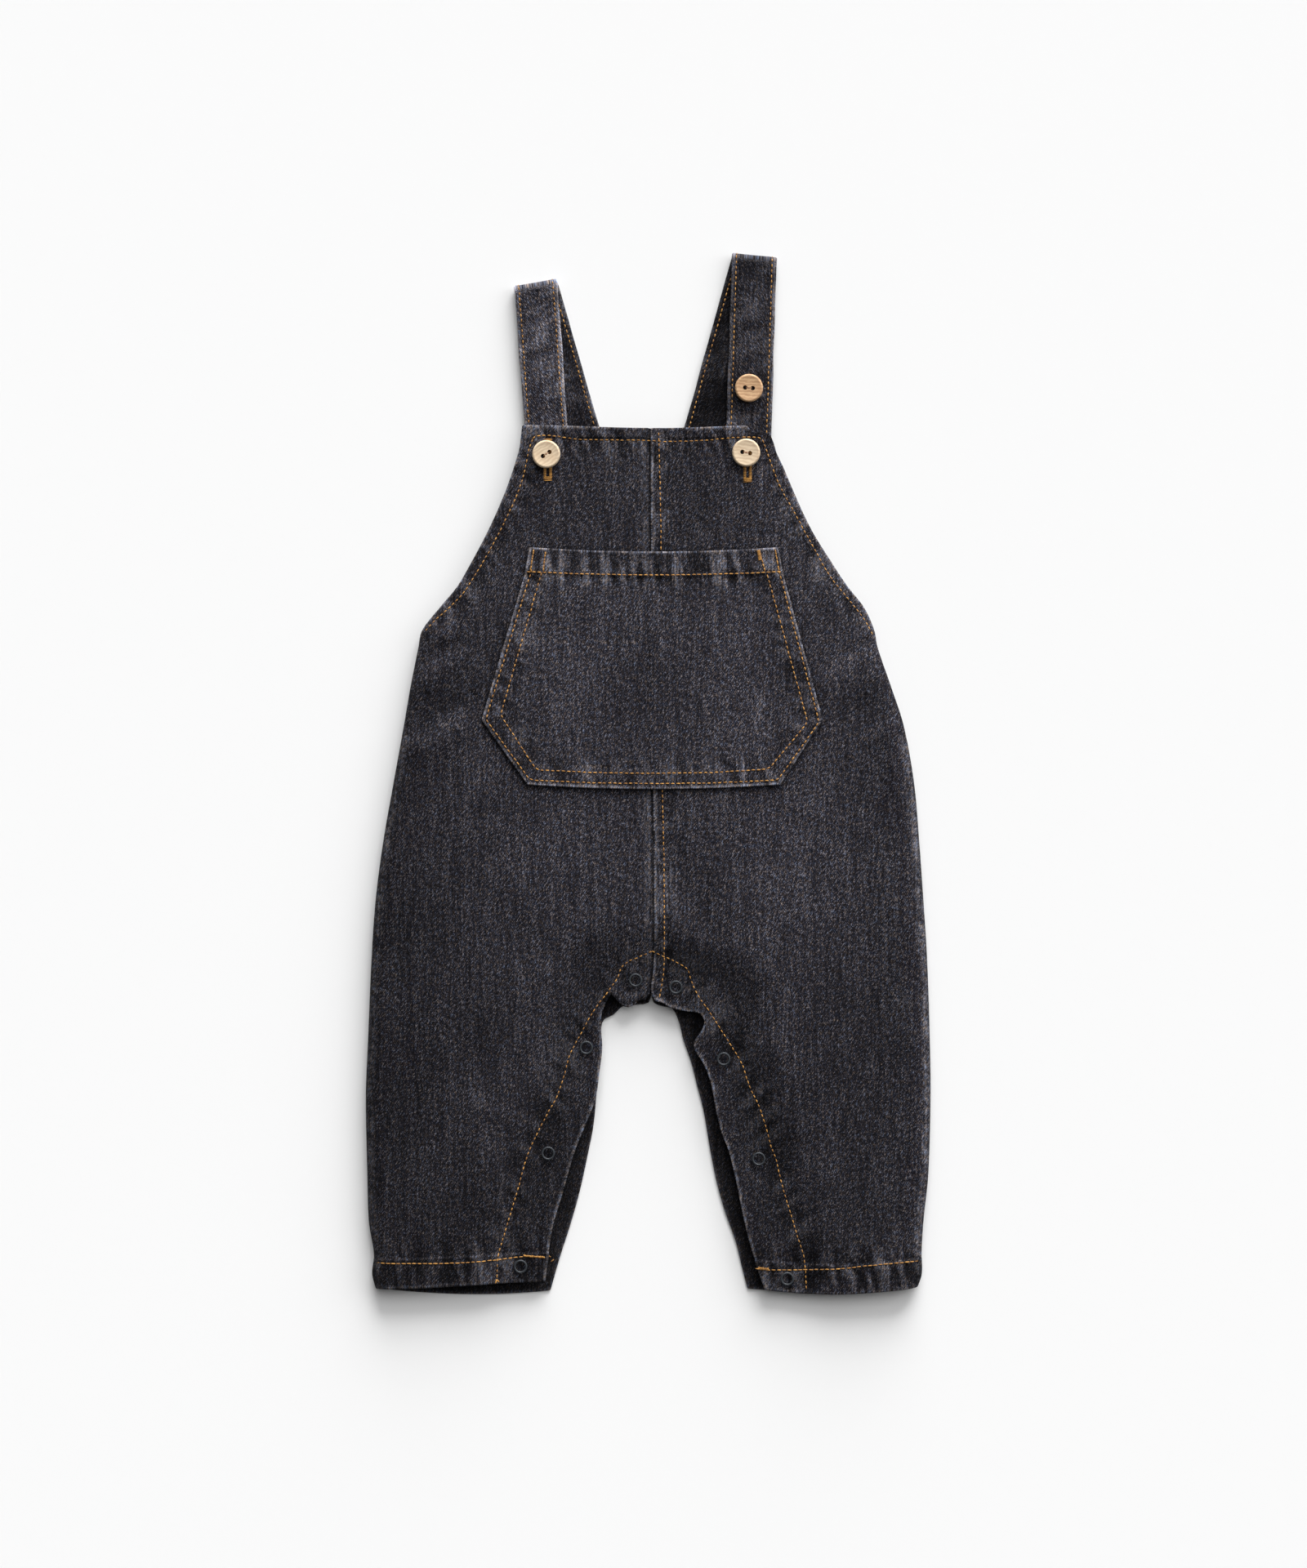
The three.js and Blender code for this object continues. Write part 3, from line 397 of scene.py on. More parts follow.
def sagged(grid: Array, name: str) -> Array:
    """Let the lower rows of a leg's grid hang down to its hem."""
    outer_x, inner_x, _, _, sag = LEG_HEMS[name]
    x, y = grid[..., 0], grid[..., 1]
    share = np.clip((x - outer_x) / (inner_x - outer_x), 0, 1)
    moved = grid.copy()
    moved[..., 1] -= 4 * sag * share * (1 - share) * (1 - smoothstep(y, 18, 60))
    return moved


# Topstitching on the fronts, x and y.
Path = tuple[tuple[float, float], ...]

BIB_TOP: Path = (
    (-62.0, 459.5), (-60.5, 461.0), (-53.5, 461.4), (-36.5, 459.4), (-18, 459.0), (-0.5, 458.8), (9.5, 458.2),
    (32.0, 459.0), (43.5, 460.2), (59.0, 460.4), (61.2, 459.4),
)
ARMHOLE_LEFT: Path = (
    (-62.0, 459.5), (-64.0, 453.5), (-66.5, 441), (-71.0, 428), (-77.0, 415), (-84.0, 401.5), (-91.5, 388.5),
    (-99.0, 377), (-106.5, 369), (-114.5, 362), (-120.0, 356),
)
ARMHOLE_RIGHT: Path = (
    (61.2, 459.4), (63.8, 452.5), (70.0, 435.5), (79.5, 418), (89.0, 400.5), (98.0, 385), (111.0, 369),
    (116.5, 361.5), (120.6, 354),
)
CENTRE_FRONT: Path = (
    (5.5, 463), (6.4, 432), (6.9, 401.5), (7.6, 272.5), (8.4, 235.5), (8.6, 185), (8.0, 172), (6.9, 165.5),
    (6.0, 159.5),
)
PLACKET_LEFT: Path = (
    (2.0, 185.2), (-5.0, 182), (-11.0, 179.5), (-14.5, 176), (-16.4, 171), (-21.5, 163.5), (-29.0, 153.5),
    (-35.5, 142), (-42.0, 129.5), (-45.5, 117), (-49.0, 107), (-53.0, 100), (-60.0, 86.5), (-65.5, 73.5),
    (-69.0, 60.5), (-73.0, 47), (-77.0, 34), (-80.6, 21), (-80.8, 14.5), (-81.4, 6.5),
)
PLACKET_RIGHT: Path = (
    (2.0, 185.2), (9.0, 182), (15.5, 179), (21.0, 175.5), (22.8, 170), (26.0, 162.5), (33.0, 152.5), (38.0, 144.5),
    (46.0, 132), (50.5, 124), (54.5, 112), (59.0, 103), (63.0, 91), (66.0, 80), (68.5, 73.5), (71.5, 60.5),
    (75.5, 47), (79.5, 34), (83.6, 20), (84.8, 3),
)
HEM_LEFT: Path = (
    (-146.2, 18.4), (-133, 18.2), (-119.0, 18), (-98.5, 18.6), (-80.0, 20), (-63.5, 21.6), (-55.2, 21),
)
HEM_RIGHT: Path = (
    (57.4, 15.2), (66.5, 14.2), (84.0, 14.5), (101.5, 15.2), (122.5, 17.4), (145.8, 19.5),
)
POCKET_OUTER: Path = (
    (-62.2, 389.5), (-86.5, 310.2), (-86.1, 308.4), (-63.8, 277.7), (-62.2, 276.8), (-30, 275.3), (3, 274.9),
    (36, 275.3), (68.2, 276.8), (70.0, 278.0), (90.6, 306.8), (91.0, 308.8), (69.7, 389.5),
)
POCKET_INNER: Path = (
    (-57.0, 387.6), (-78.6, 312.6), (-78.2, 310.6), (-60.4, 283.2), (-58.4, 282.2), (-28, 280.8), (3, 280.4),
    (34, 280.8), (63.0, 282.6), (65.4, 283.8), (84.6, 307.0), (84.8, 309.2), (63.4, 387.6),
)
POCKET_MOUTH: Path = ((-65.0, 388.2), (-34, 387.0), (3, 386.4), (40, 387.0), (71.8, 388.2))
# The four lines across the hem of the pocket's mouth, sewn there and back
MOUTH_ENDS: tuple[Path, ...] = (
    ((-61.2, 400.0), (-63.0, 388.6)),
    ((-54.8, 399.0), (-56.2, 388.4)),
    ((67.8, 400.2), (70.0, 388.6)),
    ((60.2, 396.5), (62.4, 388.6)),
)
# The fork at the foot of the left placket's line
PLACKET_FORK: tuple[Path, ...] = (((-81.2, 9.6), (-82.4, 5.6)), ((-81.2, 9.6), (-78.8, 7.0)))
LOOSE_END = ((-54.4, 21.6, 1.9), (-50.6, 19.4, 1.9), (-53.4, 17.2, 1.9))  # x, y and z of a thread at the left hem
# x and y of the middle, heading in degrees, length, width: dense bars
Bar = tuple[tuple[float, float], float, float, float]
HEM_BARS: tuple[Bar, ...] = (((61.8, 15.0), 174, 5.2, 1.6), ((-61.0, 21.4), 176, 11.0, 1.1))
POCKET_BAR: Bar = ((59.4, 397.0), 102, 5.0, 2.0)
BUTTONHOLES = ((-53.8, 437.3, 459.2), (53.2, 436.6, 457.5))  # x, lower and upper end
BUTTONHOLE_WIDTH = 4.6
FREE_LEFT: Path = tuple((row[0], row[1]) for row in FRONT_LEFT[6:])
FREE_RIGHT: Path = tuple((row[0], row[1]) for row in FRONT_RIGHT[6:])

# Creases pressed into the front, listed one by one: both ends, the width of the ridge and its height. A trough is
# negative.
CREASES: tuple[tuple[float, float, float, float, float, float], ...] = (
    (-126, 322, -100, 342, 5.5, 1.8),
    (-126, 336, -98, 352, 4.0, -1.4),
    (-130, 304, -92, 322, 6.0, -1.5),
    (-134, 288, -98, 306, 7.0, 1.2),
    (-122, 346, -104, 356, 3.0, 0.9),
    (122, 346, 92, 326, 6.0, 1.4),
    (130, 330, 104, 308, 6.0, -1.3),
    (136, 306, 112, 292, 5.0, 0.8),
    (120, 352, 106, 344, 2.6, -0.9),
    (10, 250, 44, 172, 9, -1.0),
    (-8, 232, -46, 168, 9, 0.9),
    (-52, 172, -96, 228, 11, -0.8),
    (58, 168, 100, 214, 11, 0.8),
    (-122, 200, -128, 60, 10, -0.8),
    (-86, 120, -98, 30, 9, 0.8),
    (124, 190, 122, 70, 10, -0.8),
    (88, 120, 96, 26, 9, 0.8),
    (-60, 452, -44, 404, 6, 0.5),
    (60, 450, 48, 404, 6, 0.5),
    (-38, 448, -30, 412, 3.5, -0.35),
    (26, 446, 30, 410, 3.5, -0.35),
    (-30, 160, -62, 176, 4.0, 0.55),
    (-34, 146, -70, 152, 3.5, -0.45),
    (32, 158, 66, 176, 4.0, 0.5),
    (40, 140, 76, 146, 3.5, -0.45),
    (-60, 90, -96, 104, 4.5, 0.45),
    (70, 84, 104, 98, 4.5, 0.4),
    (-106, 258, -70, 262, 5.0, -0.4),
    (74, 262, 116, 250, 5.0, 0.4),
)


@dataclass(frozen=True)
class FrontForm:
    """Height of the front over the surface: crowned over the body and held down along the snaps."""

    # y, at the outer edge, inside, run between them
    rows: tuple[tuple[float, float, float, float], ...] = (
        (465, 6.1, 7.2, 18),
        (400, 6.1, 9.0, 24),
        (370, 5.4, 10.2, 18),
        (345, 3.95, 10.8, 10),
        (250, 3.95, 11.4, 9),
        (60, 3.95, 10.8, 9),
        (22, 3.95, 9.4, 8),
        (0, 3.95, 8.6, 8),
    )
    placket: float = 24.0
    placket_run: float = 18.0
    placket_z: float = 5.25
    gape: float = 1.5
    gape_reach: float = 12.0
    snaps: tuple[tuple[float, float], ...] = (
        (-6.8, 169.6), (14.8, 165.8), (-33.2, 133.4), (40.4, 127.4),
        (-53.6, 76.8), (59.2, 73.8), (-68.4, 16.2), (74.5, 9.6),
    )
    free: Line = field(
        default_factory=lambda: Line(tuple(reversed(FREE_LEFT)) + FREE_RIGHT, smooth=False, step=0.8)
    )

    def column(self, y: Array, index: int) -> Array:
        """Give a column of the rows at y."""
        rows = sorted(self.rows)
        return np.interp(y, [r[0] for r in rows], [r[index] for r in rows])

    def creases(self, x: Array, y: Array) -> Array:
        """Add up the creases, each a little bent and uneven."""
        bent_x = x + 2.2 * noise(x, y, 26, 26, 3)
        bent_y = y + 2.2 * noise(x, y, 26, 26, 4)
        total = np.zeros_like(x)
        for k, (x0, y0, x1, y1, width, height) in enumerate(CREASES):
            dx, dy = x1 - x0, y1 - y0
            t = np.clip(((bent_x - x0) * dx + (bent_y - y0) * dy) / (dx * dx + dy * dy), 0, 1)
            signed = ((bent_x - x0) * dy - (bent_y - y0) * dx) / math.hypot(dx, dy)
            away = np.hypot(bent_x - x0 - t * dx, bent_y - y0 - t * dy)
            taper = np.sin(np.pi * (0.1 + 0.8 * t))
            uneven = 1 + 0.35 * noise(t * 40, np.full_like(t, k), 14, 1, 5)
            flank = 0.35 * bell(away - 1.7 * width, width) * (signed > 0)
            total += height * taper * uneven * (bell(away, width) - flank)
        return total

    def middle(self, x: Array, y: Array) -> Array:
        """Give the height of the middle of the cloth, without seams or puckers."""
        from_side = np.minimum(x - OUTLINE.edge(Side.LEFT, y), OUTLINE.edge(Side.RIGHT, y) - x) - CLOTH / 2
        turn = np.clip(from_side / self.column(y, 3), 0, 1)
        shoulder = np.sqrt(np.clip(1 - (1 - turn) ** 2, 0, 1))
        edge = self.column(y, 1)
        sway = 0.35 * noise(x, y, 60, 90, 11) + 0.16 * noise(x, y, 21, 34, 12) + 0.05 * noise(x, y, 8, 13, 13)
        open_z = edge + (self.column(y, 2) - edge + self.creases(x, y) + sway) * shoulder
        reach = np.min([np.hypot(x - a, y - b) for a, b in self.snaps], axis=0) / self.gape_reach
        held = self.placket_z + self.gape * (1 - bell(reach, 1)) + 0.25 * noise(x, y, 16, 16, 14)
        away, _ = self.free.near(x, y)
        inside = smoothstep(away, self.placket - 6, self.placket + self.placket_run)
        low = np.minimum(held, open_z)
        return low + (open_z - low) * inside


@dataclass
class Seam:
    """A sewn line, with the puckers it draws in the cloth beside it."""

    path: Path
    pucker: float = 0.22  # height of the puckers
    above: float = 5.0  # how far they run from the line, towards the bib
    below: float = 5.0  # how far they run from it, towards the hems
    wave: float = 6.0  # distance between them
    pinch: float = 0.22  # depth of the line itself
    worn: float = 1.0  # how much the puckers show in the colour: worn pale on their ridges, darker in their hollows partly from the wash and partly as painted shade
    lean: float = 0.35  # how much they lean with the twill
    smooth: bool = True
    seed: int = 1

    def __post_init__(self) -> None:
        """Index the line."""
        self.line = Line(self.path, self.smooth)

    def relief(self, x: Array, y: Array) -> tuple[Array, Array]:
        """Measure what the seam does to the cloth.

        Args:
            x: The places' x.
            y: The places' y.

        Returns:
            The change of height, and how pale the puckers are worn, from -1 to 1; below 0 their hollows are darker,
            partly from the wash and partly as painted shade.
        """
        away, run = self.line.near(x, y)
        over = y > np.interp(run, self.line.run, self.line.points[:, 1])
        lean = run + self.lean * np.where(over, away, -away)
        wave = noise(lean, away * 0.6, self.wave * 0.5, 12, self.seed)
        wave = wave + 0.45 * noise(lean, away, self.wave * 0.23, 6, self.seed + 1)
        wave = np.tanh(2.2 * wave)
        far = np.where(over, self.above, self.below)
        far = far * (1 + 0.5 * noise(run, run * 0, self.wave * 0.9, 1, self.seed + 2))
        fade = bell(away, far) * (1 - 0.45 * bell(away, 1.4))
        height = self.pucker * wave * fade - self.pinch * bell(away, 0.9)
        # pale wear on the puckers' ridges; their hollows darker, partly as painted shade
        return height, wave * fade * self.worn


FRONT_FORM = FrontForm()

# y, left, right, sag of the pocket: mouth, hem, side corners, bottom
POCKET_ROWS: tuple[tuple[float, float, float, float], ...] = (
    (401.2, -63.4, 69.8, 2.4),
    (387.4, -65.8, 72.4, 1.0),
    (309, -89.0, 93.6, 0.0),
    (274.4, -64.4, 70.8, 2.4),
)
POCKET_RIM = Line(
    (
        *((left, y) for y, left, _, _ in POCKET_ROWS),
        (3, POCKET_ROWS[-1][0] - POCKET_ROWS[-1][3]),
        *((right, y) for y, _, right, _ in reversed(POCKET_ROWS)),
        (3, POCKET_ROWS[0][0] - POCKET_ROWS[0][3]),
        (POCKET_ROWS[0][1], POCKET_ROWS[0][0]),
    ),
    smooth=False,
)
FRONT_SEAMS: tuple[Seam, ...] = (
    Seam(BIB_TOP, pucker=0.4, above=7, below=9, wave=6, worn=1.3, seed=21),
    Seam(ARMHOLE_LEFT, pucker=0.4, above=6, below=6, wave=6, worn=1.1, seed=23),
    Seam(ARMHOLE_RIGHT, pucker=0.4, above=6, below=6, wave=6, worn=1.1, seed=25),
    Seam(CENTRE_FRONT, pucker=0.24, wave=7, worn=0.9, seed=27),
    Seam(PLACKET_LEFT, pucker=0.38, above=7, below=6, wave=8, worn=0.8, seed=29),
    Seam(PLACKET_RIGHT, pucker=0.42, above=8, below=8, wave=7, worn=1.0, seed=31),
    Seam(HEM_LEFT, pucker=0.55, above=3, below=15, wave=7, worn=1.4, lean=0.1, seed=33),
    Seam(HEM_RIGHT, pucker=0.6, above=3, below=15, wave=6, worn=1.7, lean=0.1, seed=35),
    Seam(HEM_LEFT, pucker=0.4, above=14, below=2, wave=6, pinch=0, worn=0.6, lean=0.2, seed=37),
    Seam(HEM_RIGHT, pucker=0.45, above=12, below=2, wave=5, pinch=0, worn=0.8, lean=0.2, seed=39),
)
POCKET_SEAMS: tuple[Seam, ...] = (
    Seam(POCKET_OUTER, pucker=0.2, above=3.4, below=3.4, wave=5, pinch=0.16, worn=0.8, smooth=False, seed=61),
    Seam(POCKET_INNER, pucker=0.32, above=6, below=5, wave=6, pinch=0.16, worn=0.7, smooth=False, seed=63),
    Seam(POCKET_MOUTH, pucker=0.55, above=14, below=5, wave=6.5, pinch=0.2, worn=1.3, lean=0.1, seed=65),
    Seam(POCKET_MOUTH, pucker=0.35, above=1.6, below=4.5, wave=5.5, pinch=0, worn=1.4, lean=0.1, seed=66),
)


# Meshes


def to_row(points: Array) -> Array:
    """Turn table millimetres into metres in the row's frame."""
    moved = np.array(points, float)
    moved[..., 1] -= MIDDLE_Y
    return moved * MM


def make_mesh(
    name: str,
    points: Array,
    faces: Sequence[Sequence[int]] | Array,
    uv: Array | None = None,
    values: dict[str, Array] | None = None,
    finishes: Sequence[bpy.types.Material] = (),
    face_finish: Array | None = None,
    sharp: float | None = None,
) -> bpy.types.Object:
    """Make an object from points and faces.

    Args:
        name: The object's name.
        points: Points in table millimetres.
        faces: Corners of each face.
        uv: Place of each point on the cloth map.
        values: Named values for each point, for the finish.
        finishes: Materials.
        face_finish: Which material each face has.
        sharp: Angle in degrees from which an edge stays sharp.

    Returns:
        The object, smooth shaded and riding on the garment.
    """
    mesh = bpy.data.meshes.new(name)
    mesh.from_pydata(to_row(points).tolist(), [], [list(map(int, f)) for f in faces])
    mesh.update()
    if uv is not None:
        layer = mesh.uv_layers.new(name="cloth")
        corners = np.zeros(len(mesh.loops), np.int32)
        mesh.loops.foreach_get("vertex_index", corners)
        layer.data.foreach_set("uv", np.asarray(uv, np.float32)[corners].ravel())
    for key, value in (values or {}).items():
        layer = mesh.attributes.new(key, "FLOAT", "POINT")
        layer.data.foreach_set("value", np.asarray(value, np.float32))
    for finish in finishes:
        mesh.materials.append(finish)
    if face_finish is not None:
        mesh.polygons.foreach_set("material_index", np.asarray(face_finish, np.int32))
    mesh.polygons.foreach_set("use_smooth", np.ones(len(mesh.polygons), bool))
    if sharp is not None:
        mesh.set_sharp_from_angle(angle=math.radians(sharp))
    thing = bpy.data.objects.new(name, mesh)
    bpy.context.scene.collection.objects.link(thing)
    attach(thing, "root")
    return thing


@dataclass
class Sheet:
    """A panel of cloth on a grid: rows follow each other down the garment, and columns run left to right."""

    middle: Array
    thickness: float = DENIM
    lift: Array | None = None
    rim_turns: int = 4

    def normals(self) -> Array:
        """Give the upward direction of the cloth at each point of the grid."""
        down = np.gradient(self.middle, axis=0)
        across = np.gradient(self.middle, axis=1)
        normal = np.cross(down, across)
        return normal / np.maximum(np.linalg.norm(normal, axis=2, keepdims=True), 1e-9)

    def rim(self) -> Array:
        """Give the grid indices round the edge, once round."""
        rows, columns = self.middle.shape[:2]
        grid = np.arange(rows * columns).reshape(rows, columns)
        return np.concatenate([grid[:-1, 0], grid[-1, :-1], grid[:0:-1, -1], grid[0, :0:-1]])

    def build(self) -> tuple[Array, Array, Array, Array]:
        """Close the cloth with a rounded rim.

        Returns:
            Points, faces, the grid index that each point comes from, and 0 for the outside, 1 for the inside of
            each face.
        """
        rows, columns = self.middle.shape[:2]
        normal = self.normals()
        half = self.thickness / 2
        lift = np.zeros((rows, columns)) if self.lift is None else self.lift
        outside = self.middle + normal * half
        outside[..., 2] += lift
        inside = self.middle - normal * half
        flat_out, flat_in = outside.reshape(-1, 3), inside.reshape(-1, 3)
        rim = self.rim()
        top, bottom = flat_out[rim], flat_in[rim]
        tangent = np.roll(self.middle.reshape(-1, 3)[rim], -1, 0) - np.roll(self.middle.reshape(-1, 3)[rim], 1, 0)
        up = top - bottom
        proud = np.cross(up, tangent)
        proud /= np.maximum(np.linalg.norm(proud, axis=1, keepdims=True), 1e-9)
        reach = np.linalg.norm(up, axis=1, keepdims=True) / 2
        if np.mean(np.sum(proud * (top - flat_out.mean(0)), axis=1)) < 0:
            proud = -proud
        rings = []
        for k in range(1, self.rim_turns):
            angle = math.pi * k / self.rim_turns
            centre = (top + bottom) / 2
            rings.append(centre + up / 2 * math.cos(angle) + proud * reach * 0.9 * math.sin(angle))
        points = np.concatenate([flat_out, flat_in, *rings])
        source = np.concatenate([np.arange(rows * columns)] * 2 + [rim] * len(rings))
        grid = np.arange(rows * columns).reshape(rows, columns)
        a, b, c, d = grid[:-1, :-1], grid[1:, :-1], grid[1:, 1:], grid[:-1, 1:]
        outer = np.stack([a, b, c, d], axis=-1).reshape(-1, 4)
        inner = outer[:, ::-1] + rows * columns
        loops = [rim, *[2 * rows * columns + k * len(rim) + np.arange(len(rim)) for k in range(len(rings))]]
        loops.append(rim + rows * columns)
        edge = []
        for first, second in zip(loops[:-1], loops[1:]):
            edge.append(np.stack([first, second, np.roll(second, -1), np.roll(first, -1)], axis=-1))
        faces = np.concatenate([outer, inner, *edge])
        kinds = np.zeros(len(faces), int)
        kinds[len(outer) : 2 * len(outer)] = 1
        return points, faces, source, kinds


def lattice(
    stations: Stations,
    edge: Callable[[Array], Array],
    side: Side,
    row_steps: Callable[[float], Array],
    near_outer: Sequence[float],
    near_inner: Sequence[float],
    between: int,
) -> tuple[Array, Array]:
    """Lay rows from the outer edge to the inner one.

    Args:
        stations: Rows of the panel.
        edge: x of the outer edge at y.
        side: Which half of the garment.
        row_steps: Runs down the inner edge at which rows lie, for its whole run.
        near_outer: Distances from the outer edge at which columns lie.
        near_inner: Distances from the inner edge at which columns lie.
        between: Number of columns over what is left.

    Returns:
        The grid's x and y, and each point's distance from the inner edge.
    """
    table = np.asarray(stations, float)
    run = along(table[:, :2])
    fine = np.linspace(0, run[-1], 1200)
    inner = np.stack([hermite(fine, run, table[:, k]) for k in range(5)], axis=1)
    length = along(inner[:, :2])
    rows = np.stack([np.interp(row_steps(length[-1]), length, inner[:, k]) for k in range(5)], axis=1)
    t = np.linspace(0, 1, 90)[:, None]
    out, distances = [], []
    for x, y, heading, reach, outer_y in rows:
        start = np.array([float(edge(np.array(outer_y))), outer_y])
        end = np.array([x, y])
        span = np.linalg.norm(end - start)
        first = start - np.array([side.value * 0.35 * span, 0])
        angle = math.radians(heading)
        second = end + min(reach, 0.45 * span) * np.array([math.cos(angle), math.sin(angle)])
        curve = (1 - t) ** 3 * start + 3 * (1 - t) ** 2 * t * first + 3 * (1 - t) * t * t * second + t**3 * end
        walked = along(curve)
        total = walked[-1]
        left = np.asarray(near_outer, float)
        right = total - np.asarray(near_inner, float)[::-1]
        middle = np.linspace(left[-1], right[0], between + 2)[1:-1]
        places = np.concatenate([left, middle, right])
        out.append(np.stack([np.interp(places, walked, curve[:, k]) for k in range(2)], axis=1))
        distances.append(total - places)
    grid, from_inner = np.array(out), np.array(distances)
    if side is Side.RIGHT:
        grid, from_inner = grid[:, ::-1], from_inner[:, ::-1]
    return grid, from_inner


def spaced(stops: Sequence[tuple[float, float]], pitch: float) -> Array:
    """Give steps that are close near some stops and a pitch apart elsewhere.

    Args:
        stops: Each a place, and the least step near it.
        pitch: The usual step.

    Returns:
        The places, from the first stop to the last.
    """
    places = [stops[0][0]]
    while places[-1] < stops[-1][0]:
        here = places[-1]
        step = min(max(least, 0.35 * abs(here - stop)) for stop, least in stops)
        places.append(here + min(pitch, max(step, 0.2)))
    places[-1] = stops[-1][0]
    return np.array(places)


# Finishes


class Tree:
    """Short words for building a material's nodes."""

    def __init__(self, name: str) -> None:
        """Start a material with an empty tree and its shader."""
        self.material = bpy.data.materials.new(name)
        self.material.use_nodes = True
        self.nodes = self.material.node_tree.nodes
        self.links = self.material.node_tree.links
        self.nodes.clear()
        self.shader = self.nodes.new("ShaderNodeBsdfPrincipled")
        end = self.nodes.new("ShaderNodeOutputMaterial")
        self.links.new(self.shader.outputs[0], end.inputs[0])

    def put(self, socket: bpy.types.NodeSocket, value: object) -> None:
        """Set a socket to a number or colour, or link another node's output to it."""
        if isinstance(value, bpy.types.NodeSocket):
            self.links.new(value, socket)
        elif value is not None:
            socket.default_value = value

    def node(self, kind: str, *inputs: object, out: int | str = 0, **settings: object) -> bpy.types.NodeSocket:
        """Add a node.

        Args:
            kind: The node's kind, without its first word.
            *inputs: Values or sockets for its inputs, in order; None leaves one alone.
            out: Which output to give.
            **settings: The node's own settings.

        Returns:
            The output socket.
        """
        node = self.nodes.new(f"ShaderNode{kind}")
        for key, value in settings.items():
            setattr(node, key, value)
        for socket, value in zip(node.inputs, inputs):
            self.put(socket, value)
        return node.outputs[out]

    def math(self, operation: str, a: object, b: object = None, c: object = None) -> bpy.types.NodeSocket:
        """Add a sum."""
        return self.node("Math", a, b, c, operation=operation)

    def blend(self, share: object, a: object, b: object, kind: str = "MIX") -> bpy.types.NodeSocket:
        """Mix two colours."""
        node = self.nodes.new("ShaderNodeMix")
        node.data_type, node.blend_type = "RGBA", kind
        self.put(node.inputs["Factor"], share)
        colours = [socket for socket in node.inputs if socket.type == "RGBA"]
        self.put(colours[0], a)
        self.put(colours[1], b)
        return next(socket for socket in node.outputs if socket.type == "RGBA")

    def ranged(self, value: object, low: float, high: float, to_low: float, to_high: float) -> bpy.types.NodeSocket:
        """Map a range of values to another one, held at its ends."""
        return self.node("MapRange", value, low, high, to_low, to_high)

    def attribute(self, name: str) -> bpy.types.NodeSocket:
        """Read a named value of the mesh."""
        return self.node("Attribute", out="Fac", attribute_name=name)

    def cloth(self, scale: tuple[float, float], turn: float = 0.0) -> bpy.types.NodeSocket:
        """Read the cloth map, turned and stretched."""
        uv = self.node("UVMap", uv_map="cloth")
        turned = self.node("Mapping", uv, None, (0, 0, math.radians(turn)), (1, 1, 1))
        return self.node("Mapping", turned, None, None, (scale[0], scale[1], 1))

    def noise(self, vector: object, scale: float, detail: float = 2, rough: float = 0.5) -> bpy.types.NodeSocket:
        """Add a noise."""
        node = self.nodes.new("ShaderNodeTexNoise")
        self.put(node.inputs["Vector"], vector)
        for name, value in (("Scale", scale), ("Detail", detail), ("Roughness", rough)):
            node.inputs[name].default_value = value
        return node.outputs["Fac"]

    def bump(self, height: object, strength: float, distance: float) -> None:
        """Give the shader a bump."""
        node = self.nodes.new("ShaderNodeBump")
        self.put(node.inputs["Height"], height)
        node.inputs["Strength"].default_value = strength
        node.inputs["Distance"].default_value = distance
        self.links.new(node.outputs[0], self.shader.inputs["Normal"])

    def set(self, **values: object) -> None:
        """Set the shader's sockets by name, with low lines for spaces."""
        for key, value in values.items():
            self.put(self.shader.inputs[key.replace("_", " ")], value)


